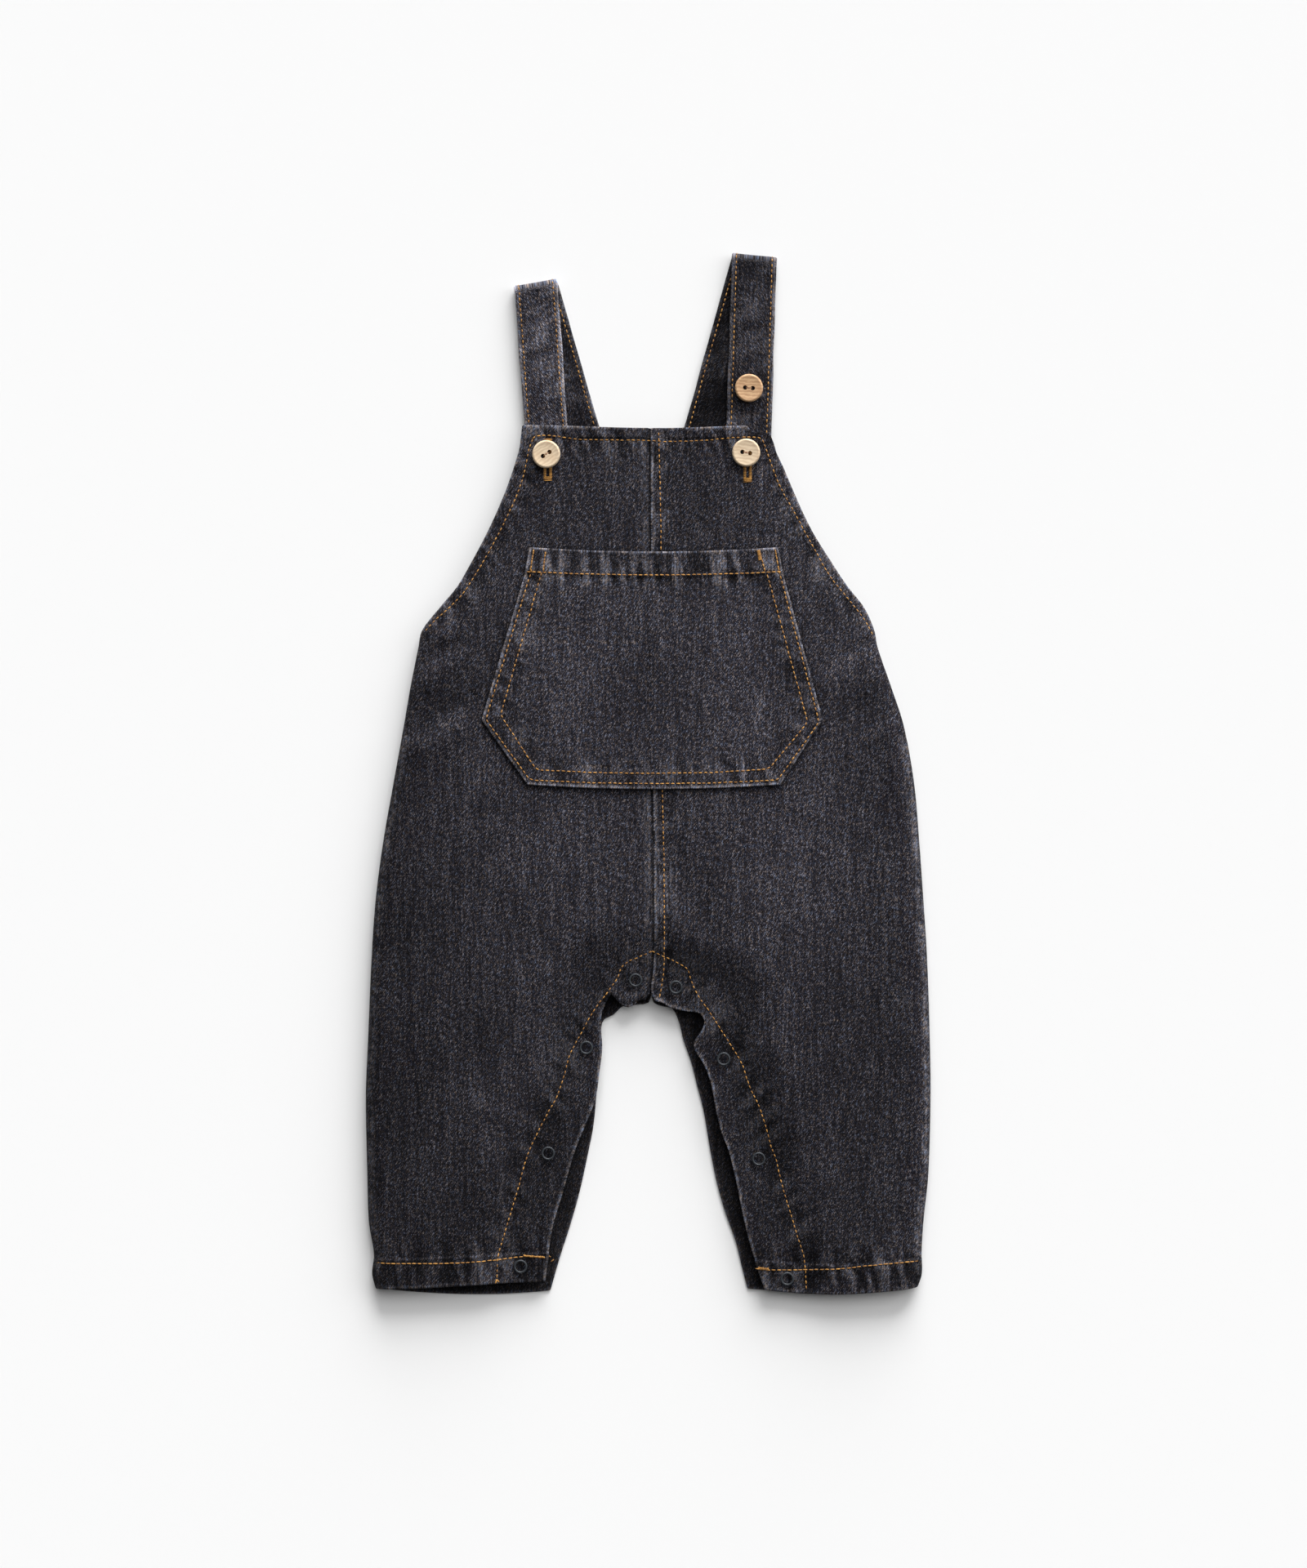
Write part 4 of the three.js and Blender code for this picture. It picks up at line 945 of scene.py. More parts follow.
@dataclass(frozen=True)
class DenimFinish:
    """Washed twill: dark yarn with pale flecks along the twill, slubs down the warp, and wear on raised edges."""

    name: str
    dark: tuple[float, float, float] = (0.0058, 0.0056, 0.0072)
    body: tuple[float, float, float] = (0.0265, 0.025, 0.0305)
    fleck: tuple[float, float, float] = (0.33, 0.325, 0.35)
    worn: tuple[float, float, float] = (0.42, 0.415, 0.44)
    warm: tuple[float, float, float] = (1.26, 1.0, 0.76)
    cool: tuple[float, float, float] = (0.78, 0.97, 1.3)
    middle: float = 0.395
    shaded: float = 0.42  # share of the colour that is kept at a shade of 1
    twill_turn: float = 32.0  # the twill's lean from the warp, in degrees

    def build(self) -> bpy.types.Material:
        """Build the material.

        Returns:
            The material, which reads the cloth map and the mesh's wear and shade.
        """
        tree = Tree(self.name)
        straight = tree.cloth((1, 1))
        twill = tree.node(
            "TexWave", tree.cloth((1, 1), self.twill_turn), 36.0, 2.0, 2.0, 8.0, out="Fac", bands_direction="X"
        )
        fleck = tree.noise(tree.cloth((150, 46), self.twill_turn), 1.0, 2, 0.6)
        speck = tree.noise(straight, 135, 2, 0.7)
        slub = tree.noise(tree.cloth((96, 6)), 1.0, 2, 0.6)
        layers = (
            (fleck, 2.2),
            (speck, 2.4),
            (tree.noise(tree.cloth((120, 30), self.twill_turn), 1.0, 1, 0.5), 0.8),
            (slub, 0.9),
            (tree.noise(tree.cloth((24, 2.0)), 1.0, 2, 0.5), 0.5),
            (tree.noise(tree.cloth((1.0, 0.8)), 2.6, 3, 0.55), 0.3),
            (twill, 0.3),
        )
        index = self.middle
        for value, weight in layers:
            index = tree.math("MULTIPLY_ADD", tree.math("SUBTRACT", value, 0.5), weight, index)
        index = tree.math("MULTIPLY_ADD", tree.attribute("wear"), 0.3, index)
        cloth = tree.blend(tree.ranged(index, -0.05, 0.6, 0, 1), (*self.dark, 1), (*self.body, 1))
        cloth = tree.blend(tree.ranged(index, 0.55, 1.75, 0, 1), cloth, (*self.fleck, 1))
        yarn = tree.math("MULTIPLY_ADD", speck, 0.6, tree.math("ADD", fleck, slub))
        patchy = tree.ranged(yarn, 1.08, 1.5, 0.05, 1.0)
        wear = tree.math("MULTIPLY", tree.attribute("wear"), patchy)
        worn = tree.blend(tree.ranged(wear, 0, 1, 0, 0.9), cloth, (*self.worn, 1))
        tint = tree.noise(tree.cloth((6, 3)), 14, 3, 0.7)
        warmth = tree.blend(tree.ranged(tint, 0.36, 0.64, 0, 1), (*self.cool, 1), (*self.warm, 1))
        tinted = tree.blend(1.0, worn, warmth, "MULTIPLY")
        # the mesh's shade darkens the colour: tone, and painted shade
        kept = tree.math("POWER", self.shaded, tree.attribute("shade"))
        final = tree.blend(1.0, tinted, tree.node("CombineColor", kept, kept, kept), "MULTIPLY")
        tree.set(Base_Color=final, Roughness=0.92, Specular_IOR_Level=0.06, Sheen_Weight=0.02, Sheen_Roughness=0.5)
        height = tree.math("MULTIPLY_ADD", twill, 0.4, tree.math("MULTIPLY_ADD", fleck, 0.9, speck))
        tree.bump(height, 0.5, 0.0004)
        return tree.material


@dataclass(frozen=True)
class ThreadFinish:
    """Sewing thread, each stitch a little lighter or darker than the next."""

    name: str
    low: tuple[float, float, float]
    high: tuple[float, float, float]

    def build(self) -> bpy.types.Material:
        """Build the material."""
        tree = Tree(self.name)
        ply = tree.node("TexWave", tree.cloth((1, 1), 40), 160.0, 0.6, 1.0, 1.0, out="Fac", bands_direction="X")
        tone = tree.math("MULTIPLY_ADD", tree.ranged(ply, 0, 1, -0.5, 0.5), 0.3, tree.attribute("tone"))
        colour = tree.blend(tree.ranged(tone, 0, 1, 0, 1), (*self.low, 1), (*self.high, 1))
        tree.set(Base_Color=colour, Roughness=0.62, Specular_IOR_Level=0.3, Sheen_Weight=0.2)
        tree.bump(ply, 0.3, 0.0001)
        return tree.material


@dataclass(frozen=True)
class WoodFinish:
    """Bare turned wood with fine grain across the face."""

    name: str
    pale: tuple[float, float, float]
    grain: tuple[float, float, float]
    blush: tuple[float, float, float]
    contrast: float

    def build(self) -> bpy.types.Material:
        """Build the material."""
        tree = Tree(self.name)
        drift = tree.noise(tree.cloth((1, 1)), 14, 2, 0.5)
        lines = tree.noise(tree.cloth((26, 150)), 1.0, 4, 0.6)
        rings = tree.node("TexWave", tree.cloth((1, 1)), 17.0, 5.0, 3.0, 1.4, out="Fac", bands_direction="Y")
        share = tree.math("MULTIPLY_ADD", rings, 0.45, tree.math("MULTIPLY", lines, 0.9))
        colour = tree.blend(tree.ranged(share, 0.45, 1.15, 0, self.contrast), (*self.pale, 1), (*self.grain, 1))
        colour = tree.blend(tree.ranged(drift, 0.5, 0.75, 0, 0.5), colour, (*self.blush, 1))
        tree.set(Base_Color=colour, Roughness=tree.ranged(lines, 0.3, 0.7, 0.42, 0.6), Specular_IOR_Level=0.4)
        tree.bump(lines, 0.25, 0.0002)
        return tree.material


@dataclass(frozen=True)
class SnapFinish:
    """Dark blue-grey paint on a pressed ring, rubbed and lighter on its crest, partly as a painted highlight."""

    name: str = "snap_paint"
    paint: tuple[float, float, float] = (0.02, 0.0235, 0.029)
    # the crest's colour: rubbed paint and a painted highlight
    rubbed: tuple[float, float, float] = (0.058, 0.065, 0.074)

    def build(self) -> bpy.types.Material:
        """Build the material."""
        tree = Tree(self.name)
        dust = tree.noise(tree.cloth((1, 1)), 120, 3, 0.6)
        # lighter on the crest: rubbed paint and a painted highlight
        worn = tree.math("MULTIPLY", tree.attribute("wear"), tree.ranged(dust, 0.35, 0.65, 0.2, 1))
        tree.set(
            Base_Color=tree.blend(worn, (*self.paint, 1), (*self.rubbed, 1)),
            Roughness=tree.ranged(dust, 0.3, 0.7, 0.34, 0.55),
            Specular_IOR_Level=0.5,
            Metallic=0.3,
        )
        tree.bump(dust, 0.1, 0.0001)
        return tree.material


@dataclass(frozen=True)
class Wardrobe:
    """Every finish of the garment."""

    denim: bpy.types.Material
    # the cloth's inside, darkened with painted shade
    inside: bpy.types.Material
    topstitch: bpy.types.Material
    tan: bpy.types.Material
    pale_wood: bpy.types.Material
    red_wood: bpy.types.Material
    paint: bpy.types.Material

    @staticmethod
    def stocked() -> "Wardrobe":
        """Build all the materials."""
        pale, grain, blush = (0.74, 0.59, 0.41), (0.45, 0.31, 0.2), (0.6, 0.38, 0.22)
        return Wardrobe(
            denim=DenimFinish("washed_denim").build(),
            # the cloth's inside, darker than the denim with painted shade, for where it shows in the gaps under the
            # front
            inside=DenimFinish(
                "denim_inside",
                dark=(0.0035, 0.0035, 0.004),
                body=(0.012, 0.0115, 0.0125),
                fleck=(0.1, 0.097, 0.105),
                worn=(0.16, 0.155, 0.17),
            ).build(),
            topstitch=ThreadFinish("topstitch_thread", (0.2, 0.08, 0.013), (0.56, 0.28, 0.06)).build(),
            tan=ThreadFinish("button_thread", (0.2, 0.1, 0.05), (0.4, 0.21, 0.12)).build(),
            pale_wood=WoodFinish("pale_wood", pale, grain, blush, 0.7).build(),
            red_wood=WoodFinish("red_wood", (0.62, 0.4, 0.22), (0.33, 0.16, 0.08), (0.5, 0.27, 0.14), 0.9).build(),
            paint=SnapFinish().build(),
        )


# The garment's pieces


def band(distance: Array, wide: float, step: float = 0.9) -> Array:
    """Give 1 within a turned layer that is wide from its edge, and 0 past the step where it ends."""
    return 1 - smoothstep(distance, wide, wide + step)


@dataclass(frozen=True)
class FrontShade:
    """How dark the parts of a front half are: tone, and painted shade in hollows, gaps and on slopes."""

    held: float  # along the free edge, where the snaps hold the cloth down
    rise: float  # painted shade beyond it, on the slope where the cloth rises over the leg
    lower_leg: float
    tuck: float = 0.0  # painted shadow in the gap beside the felled seam
    # painted shade on the left side and over the left thigh, turned from the light
    side_seam: float = 0.0
    thigh: float = 0.0
    # darker pucker hollows, partly from the wash and partly as painted shade
    puckers: float = 0.95
    drift: float = 0.22
    # painted shade in the creases' troughs
    troughs: float = 0.2
    sides: float = 0.16
    # painted contact shadow along the pocket's edge
    pocket_rim: float = 0.6
    bib: float = 0.12
    lap: float = 0.16  # how much paler the cloth is below the pocket


FRONT_SHADES = {
    Side.LEFT: FrontShade(held=0.4, rise=0.18, lower_leg=0.27, tuck=0.95, side_seam=0.3, thigh=0.18),
    Side.RIGHT: FrontShade(held=0.45, rise=0.5, lower_leg=0.1),
}


@dataclass
class FrontPanel:
    """One half of the front: bib, body and leg in one cut, with a felled seam, turned edges and a turned hem."""

    side: Side
    finish: Wardrobe
    turning: float = 5.6
    fell: float = 5.8
    hem: float = 15.0
    inset: float = 0.5  # the rounded edge stands this far out of the grid
    reach: float = 25.0  # how far from a seam's ends its puckers are worked out
    fell_lift: float = 0.65
    hem_lift: float = 0.85
    turning_lift: float = 0.5
    tuck: float = 0.95  # how far the left half dips beside the felled seam

    def surface(self, x: Array, y: Array) -> tuple[Array, Array]:
        """Work out the cloth at some places.

        Args:
            x: The places' x.
            y: The places' y.

        Returns:
            Height of the middle of the cloth, and how pale the puckers are worn; below 0 their hollows are darker,
            partly as painted shade.
        """
        height = FRONT_FORM.middle(x, y)
        pale = np.zeros_like(height)
        for seam in FRONT_SEAMS:
            low, high = seam.line.points.min(0) - self.reach, seam.line.points.max(0) + self.reach
            near = (x > low[0]) & (x < high[0]) & (y > low[1]) & (y < high[1])
            if near.any():
                change, worn = seam.relief(x[near], y[near])
                height[near] += change
                pale[near] += worn
        return height, pale

    def hem_line(self, x: Array) -> Array:
        """Give y of the leg's lower edge."""
        return leg_hem(f"front_{self.side.word}", x)

    def layers(self, x: Array, y: Array) -> Array:
        """Give how much the turned layers raise the outside."""
        from_seam = x - OUTLINE.seam(y)
        right = self.side is Side.RIGHT
        fell = self.fell_lift * band(from_seam, self.fell) * (y > SEAM_FOOT) * (from_seam > -1) * right
        tuck = -self.tuck * band(-from_seam, -0.2, 1.6) * smoothstep(y, 158, 172) * (not right)
        hem = self.hem_lift * band(y - self.hem_line(x), self.hem, 1.1) * (y < 40)
        from_top = BIB_EDGE + 0.2 - y
        from_armhole = np.abs(x - OUTLINE.edge(self.side, y)) * 0.86
        turned = band(np.minimum(from_top, from_armhole), self.turning) * (y > OUTLINE.underarm - 4)
        turned = self.turning_lift * turned
        return np.maximum.reduce([fell, hem, turned]) + tuck

    def height(self, x: Array, y: Array) -> Array:
        """Give the height of the outside of the cloth, for what lies on it."""
        return self.surface(x, y)[0] + DENIM / 2 + self.layers(x, y)

    def grid(self) -> tuple[Array, Array]:
        """Lay out the panel's grid.

        Returns:
            The grid's x and y, and each point's distance from the inner edge.
        """
        stations = FRONT_LEFT if self.side is Side.LEFT else FRONT_RIGHT

        def rows(total: float) -> Array:
            """Place the rows, close at the bib's edge, its turning and the hem's fold."""
            stops = [(self.inset, 0.5), (6.2, 0.5), (total - self.hem - 1, 0.5), (total - self.inset, 0.5)]
            return spaced(stops, 1.7)

        def edge(y: Array) -> Array:
            """Give x of the grid's outer edge."""
            return OUTLINE.edge(self.side, y) - self.side.value * (CLOTH / 2)

        near_outer = [0, 0.05, 0.2, 0.45, 0.8, 1.25, 1.8, 2.5, 3.3, 4.2, 5.2, 5.9, 6.6, 7.6, 9.0]
        near_inner = [self.inset, 1.0, 1.8, 2.8, 4.0, 5.2, 5.9, 6.6, 7.6]
        grid, from_inner = lattice(stations, edge, self.side, rows, near_outer, near_inner, 62)
        return sagged(grid, f"front_{self.side.word}"), from_inner

    def build(self) -> bpy.types.Object:
        """Build the panel.

        Returns:
            The panel, which stands for its node.
        """
        grid, from_inner = self.grid()
        if self.side is Side.RIGHT:
            grid = self.turn_corner(grid)
        x, y = grid[..., 0], grid[..., 1]
        middle, pale = self.surface(x, y)
        lift = self.layers(x, y)
        whole = np.where(self.side is Side.LEFT, np.minimum(lift, 0), 0.5 * np.maximum(lift, 0) * (y > SEAM_FOOT))
        sheet = Sheet(np.stack([x, y, middle + whole], axis=-1), lift=lift - whole)
        points, faces, source, kinds = sheet.build()
        wear, shade = self.finish_values(x, y, from_inner, pale)
        name = f"denim_front_{self.side.word}"
        panel = make_mesh(
            name,
            points,
            faces,
            uv=grid.reshape(-1, 2)[source] / UV_SIZE,
            values={"wear": wear.ravel()[source], "shade": shade.ravel()[source]},
            finishes=(self.finish.denim, self.finish.inside),
            face_finish=kinds,
        )
        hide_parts(f"front_{self.side.word}")
        return panel

    def turn_corner(self, grid: Array) -> Array:
        """Lower the right front's top corner beside its strap, where the corner is turned under."""
        x, y = grid[..., 0], grid[..., 1]
        drop = 3.4 * smoothstep(x, 52.0, 56.0) + 0.9 * smoothstep(x, 56, 67)
        reach = smoothstep(y, 440, 466)
        moved = grid.copy()
        moved[..., 1] = y - drop * reach
        return moved

    def worn_edges(self, x: Array, y: Array, from_inner: Array, rubbed: Array) -> Array:
        """Give the wear along the panel's edges.

        Args:
            x: The grid's x.
            y: The grid's y.
            from_inner: Distance of each point from the inner edge.
            rubbed: How rubbed the centre seam's side is.

        Returns:
            The wear of each point, from 0 to 1.
        """
        patch = 0.62 + 0.38 * noise(x, y, 3, 5, 41)
        rope = 0.5 + 0.5 * noise(x + y, y, 2.2, 1.8, 42)
        from_side = np.abs(x - OUTLINE.edge(self.side, y))
        inner = np.where(y > SEAM_FOOT + 1, 0.7 * rubbed, 0.9 * bell(from_inner - 0.4, 0.9)) * patch
        top = 0.7 * bell(BIB_EDGE - y, 1.0) * patch * (y > 440)
        armhole = 0.7 * bell(from_side, 1.2) * (y > 350) * patch
        side_seam = 0.6 * bell(from_side - 3.0, 1.8) * (y <= 300) * rope**2
        hem = 0.6 * bell(y - self.hem_line(x), 0.9) * patch
        return np.maximum.reduce([inner, top, armhole, side_seam, hem])

    def shade(self, x: Array, y: Array, from_inner: Array, pale: Array) -> Array:
        """Give how dark the panel is, from its tone and from painted shade.

        Args:
            x: The grid's x.
            y: The grid's y.
            from_inner: Distance of each point from the inner edge.
            pale: How pale the puckers are; below 0, how dark their hollows are, partly as painted shade.

        Returns:
            The shade of each point; 0 is the cloth's own colour.
        """
        tone = FRONT_SHADES[self.side]
        # pucker hollows darker, partly from the wash and partly as painted shade; the drift is random tone
        shade = tone.puckers * np.clip(-pale, 0, 1.2) + tone.drift * noise(x, y, 38, 46, 43)
        # painted shade in the creases' troughs
        shade -= tone.troughs * np.minimum(FRONT_FORM.creases(x, y), 0)
        away, _ = FRONT_FORM.free.near(x, y)
        shade += tone.held * (1 - smoothstep(away, 20, 27)) * (0.8 + 0.2 * noise(x, y, 12, 12, 44))
        # painted shade on the slope beyond the snaps, where the cloth rises over the leg
        shade += tone.rise * bell(away - 25, 9) * smoothstep(y, 30, 90)
        shade += tone.lower_leg * (1 - smoothstep(y, 60, 220))
        shade += tone.sides * smoothstep(np.abs(x), 75, 125) * (y < 330)
        # painted shadow in the gap where the left half tucks under the felled seam
        shade += tone.tuck * bell(from_inner - 1.2, 1.1) * (y > SEAM_FOOT + 1)
        # painted shade on the left side and over the left thigh, turned from the light
        shade += tone.side_seam * smoothstep(-x, 110, 140) * (y < 340)
        shade += tone.thigh * smoothstep(-x, 20, 100) * (1 - smoothstep(y, 230, 330))
        near, _ = POCKET_RIM.near(x, y)
        # painted contact shadow along the pocket's edge
        shade += tone.pocket_rim * bell(near, 1.6) + tone.bib * smoothstep(y, 395, 410)
        lap = smoothstep(y, 150, 200) * (1 - smoothstep(y, 255, 300)) * (1 - smoothstep(np.abs(x), 70, 110))
        return shade - tone.lap * lap

    def finish_values(self, x: Array, y: Array, from_inner: Array, pale: Array) -> tuple[Array, Array]:
        """Work out where the cloth is worn and where it is dark, from its tone and from painted shade.

        Args:
            x: The grid's x.
            y: The grid's y.
            from_inner: Distance of each point from the inner edge.
            pale: How pale the puckers are; below 0, how dark their hollows are, partly as painted shade.

        Returns:
            The wear and shade of each point.
        """
        right = self.side is Side.RIGHT
        rubbed = bell(from_inner - 0.6, 0.9) if right else 0.25 * bell(from_inner - 4, 2.0)
        wear = self.worn_edges(x, y, from_inner, rubbed) + 0.17 * np.clip(pale, 0, 1.4)
        shade = self.shade(x, y, from_inner, pale)
        if right:
            shade = shade * (1 - 0.75 * rubbed * (y > SEAM_FOOT + 1))
        return np.clip(wear, 0, 1), np.clip(shade, -0.6, 1.6)


@dataclass
class BackPanel:
    """One half of the back, flat on the surface, with its inside showing past the front, darkened with painted shade.
    """

    side: Side
    finish: Wardrobe
    curl: float = 4.0
    inset: float = 0.5

    def middle(self, x: Array, y: Array) -> Array:
        """Give the height of the middle of the cloth, with soft creases that stay off the surface."""
        from_side = np.abs(x - OUTLINE.back_edge(self.side, y)) - CLOTH / 2
        turn = np.clip(1 - from_side / self.curl, 0, 1)
        low = CLOTH / 2
        top = np.interp(y, [350, 372], [3.3, low])
        soft = 0.12 * np.clip(noise(x, y, 26, 44, 51) + 0.4 * noise(x, y, 9, 15, 52), 0, 1.4)
        return low + (top - low) * (1 - np.sqrt(np.clip(1 - turn**2, 0, 1))) + soft * (1 - turn)

    def build(self) -> bpy.types.Object:
        """Build the panel.

        Returns:
            The panel, which stands for its node.
        """
        stations = BACK_LEFT if self.side is Side.LEFT else BACK_RIGHT

        def rows(total: float) -> Array:
            """Place the rows, close at both ends."""
            return spaced([(self.inset, 0.6), (total - self.inset, 0.6)], 2.6)

        def edge(y: Array) -> Array:
            """Give x of the grid's outer edge."""
            return OUTLINE.back_edge(self.side, y) - self.side.value * (CLOTH / 2)

        near_outer = [0, 0.08, 0.3, 0.65, 1.1, 1.7, 2.4, 3.2, 4.2, 6.0]
        near_inner = [self.inset, 1.0, 1.8, 3.0, 5.0]
        grid, from_inner = lattice(stations, edge, self.side, rows, near_outer, near_inner, 36)
        grid = sagged(grid, f"back_{self.side.word}")
        x, y = grid[..., 0], grid[..., 1]
        sheet = Sheet(np.stack([x, y, self.middle(x, y)], axis=-1), thickness=CLOTH - 0.05)
        points, faces, source, kinds = sheet.build()
        points[:, 2] = np.maximum(points[:, 2], 0.0)
        from_hem = y - leg_hem(f"back_{self.side.word}", x)
        wear = 0.5 * bell(from_inner, 0.8) + 0.5 * bell(from_hem, 1.0)
        shade = 0.25 * noise(x, y, 14, 22, 53)
        name = f"denim_back_{self.side.word}"
        panel = make_mesh(
            name,
            points,
            faces,
            uv=grid.reshape(-1, 2)[source] / UV_SIZE + 3.3,
            values={"wear": wear.ravel()[source], "shade": shade.ravel()[source]},
            # the inside, on top, is darkened with painted shade
            finishes=(self.finish.inside, self.finish.denim),
            face_finish=kinds,
        )
        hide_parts(f"back_{self.side.word}")
        return panel


@dataclass
class Pocket:
    """The kangaroo pocket: a six-sided patch with a turned hem across its mouth."""

    finish: Wardrobe
    rows: tuple[tuple[float, float, float, float], ...] = POCKET_ROWS
    hem: float = 13.0
    inset: float = 0.5

    def column(self, y: Array, index: int) -> Array:
        """Give a column of the rows at y."""
        rows = sorted(self.rows)
        return np.interp(y, [r[0] for r in rows], [r[index] for r in rows])

    def surface(self, x: Array, y: Array) -> tuple[Array, Array]:
        """Give the height of the cloth's middle and how pale its puckers are; below 0 their hollows are darker, partly
        as painted shade.
        """
        top, bottom = self.rows[0][0], self.rows[-1][0]
        from_seam = x - OUTLINE.seam(y)
        fell = 0.65 * smoothstep(from_seam, -3, 0) * (1 - smoothstep(from_seam, 5.8, 9.8))
        share = (x - self.column(y, 1)) / (self.column(y, 2) - self.column(y, 1))
        puff = 0.9 * np.sin(np.pi * np.clip(share, 0, 1)) * smoothstep(y, bottom, top)
        base = FRONT_FORM.middle(x, y) + CLOTH / 2 + fell
        height = base + 0.45 + CLOTH / 2 + puff + 0.22 * noise(x, y, 17, 40, 67)
        pale = np.zeros_like(height)
        for seam in POCKET_SEAMS:
            change, worn = seam.relief(x, y)
            height = height + change
            pale = pale + worn
        return height, pale

    def layers(self, x: Array, y: Array) -> Array:
        """Give how much the turned layers raise the outside."""
        share = np.clip((x - self.column(y, 1)) / (self.column(y, 2) - self.column(y, 1)), 0, 1)
        mouth = self.rows[0][0] - 4 * self.rows[0][3] * share * (1 - share)
        hem = 0.55 * band(mouth - y, self.hem)
        away, _ = POCKET_RIM.near(x, y)
        turned = 0.3 * band(away, 8.5, 1.2)
        return np.maximum(hem, turned)

    def height(self, x: Array, y: Array) -> Array:
        """Give the height of the outside of the cloth."""
        return self.surface(x, y)[0] + DENIM / 2 + self.layers(x, y)

    def build(self) -> bpy.types.Object:
        """Build the pocket.

        Returns:
            The pocket, which stands for its node.
        """
        top, _, corner, bottom = (r[0] for r in self.rows)
        stops = [(0.0, 0.45), (self.hem, 0.5), (top - corner, 1.0), (top - bottom - 2 * self.inset, 0.45)]
        levels = top - self.inset - spaced(stops, 1.5)
        shares = spaced([(0.0, 0.003), (1.0, 0.003)], 1.5 / 165)
        grid = []
        for level in levels:
            left, right = float(self.column(level, 1)) + self.inset, float(self.column(level, 2)) - self.inset
            x = left + (right - left) * shares
            grid.append(np.stack([x, level - 4 * self.column(level, 3) * shares * (1 - shares)], axis=1))
        grid = np.array(grid)
        x, y = grid[..., 0], grid[..., 1]
        middle, pale = self.surface(x, y)
        sheet = Sheet(np.stack([x, y, middle], axis=-1), lift=self.layers(x, y))
        points, faces, source, kinds = sheet.build()
        away, _ = POCKET_RIM.near(x, y)
        patch = 0.65 + 0.35 * noise(x + y, y, 3, 2.4, 68)
        wear = 0.95 * bell(away, 0.8) * patch + 0.2 * np.clip(pale, 0, 1.3)
        # pucker hollows darker, partly from the wash and partly as painted shade, with random tone
        shade = 1.1 * np.clip(-pale, 0, 1.3) + 0.2 * noise(x, y, 30, 46, 69) - 0.16
        # painted shade in the groove along the outer stitching
        shade += 0.35 * bell(away - 2.4, 0.9)
        piece = make_mesh(
            "denim_pocket",
            points,
            faces,
            uv=grid.reshape(-1, 2)[source] / UV_SIZE + 6.1,
            values={"wear": np.clip(wear, 0, 1).ravel()[source], "shade": shade.ravel()[source]},
            finishes=(self.finish.denim, self.finish.inside),
            face_finish=kinds,
        )
        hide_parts("pocket")
        return piece


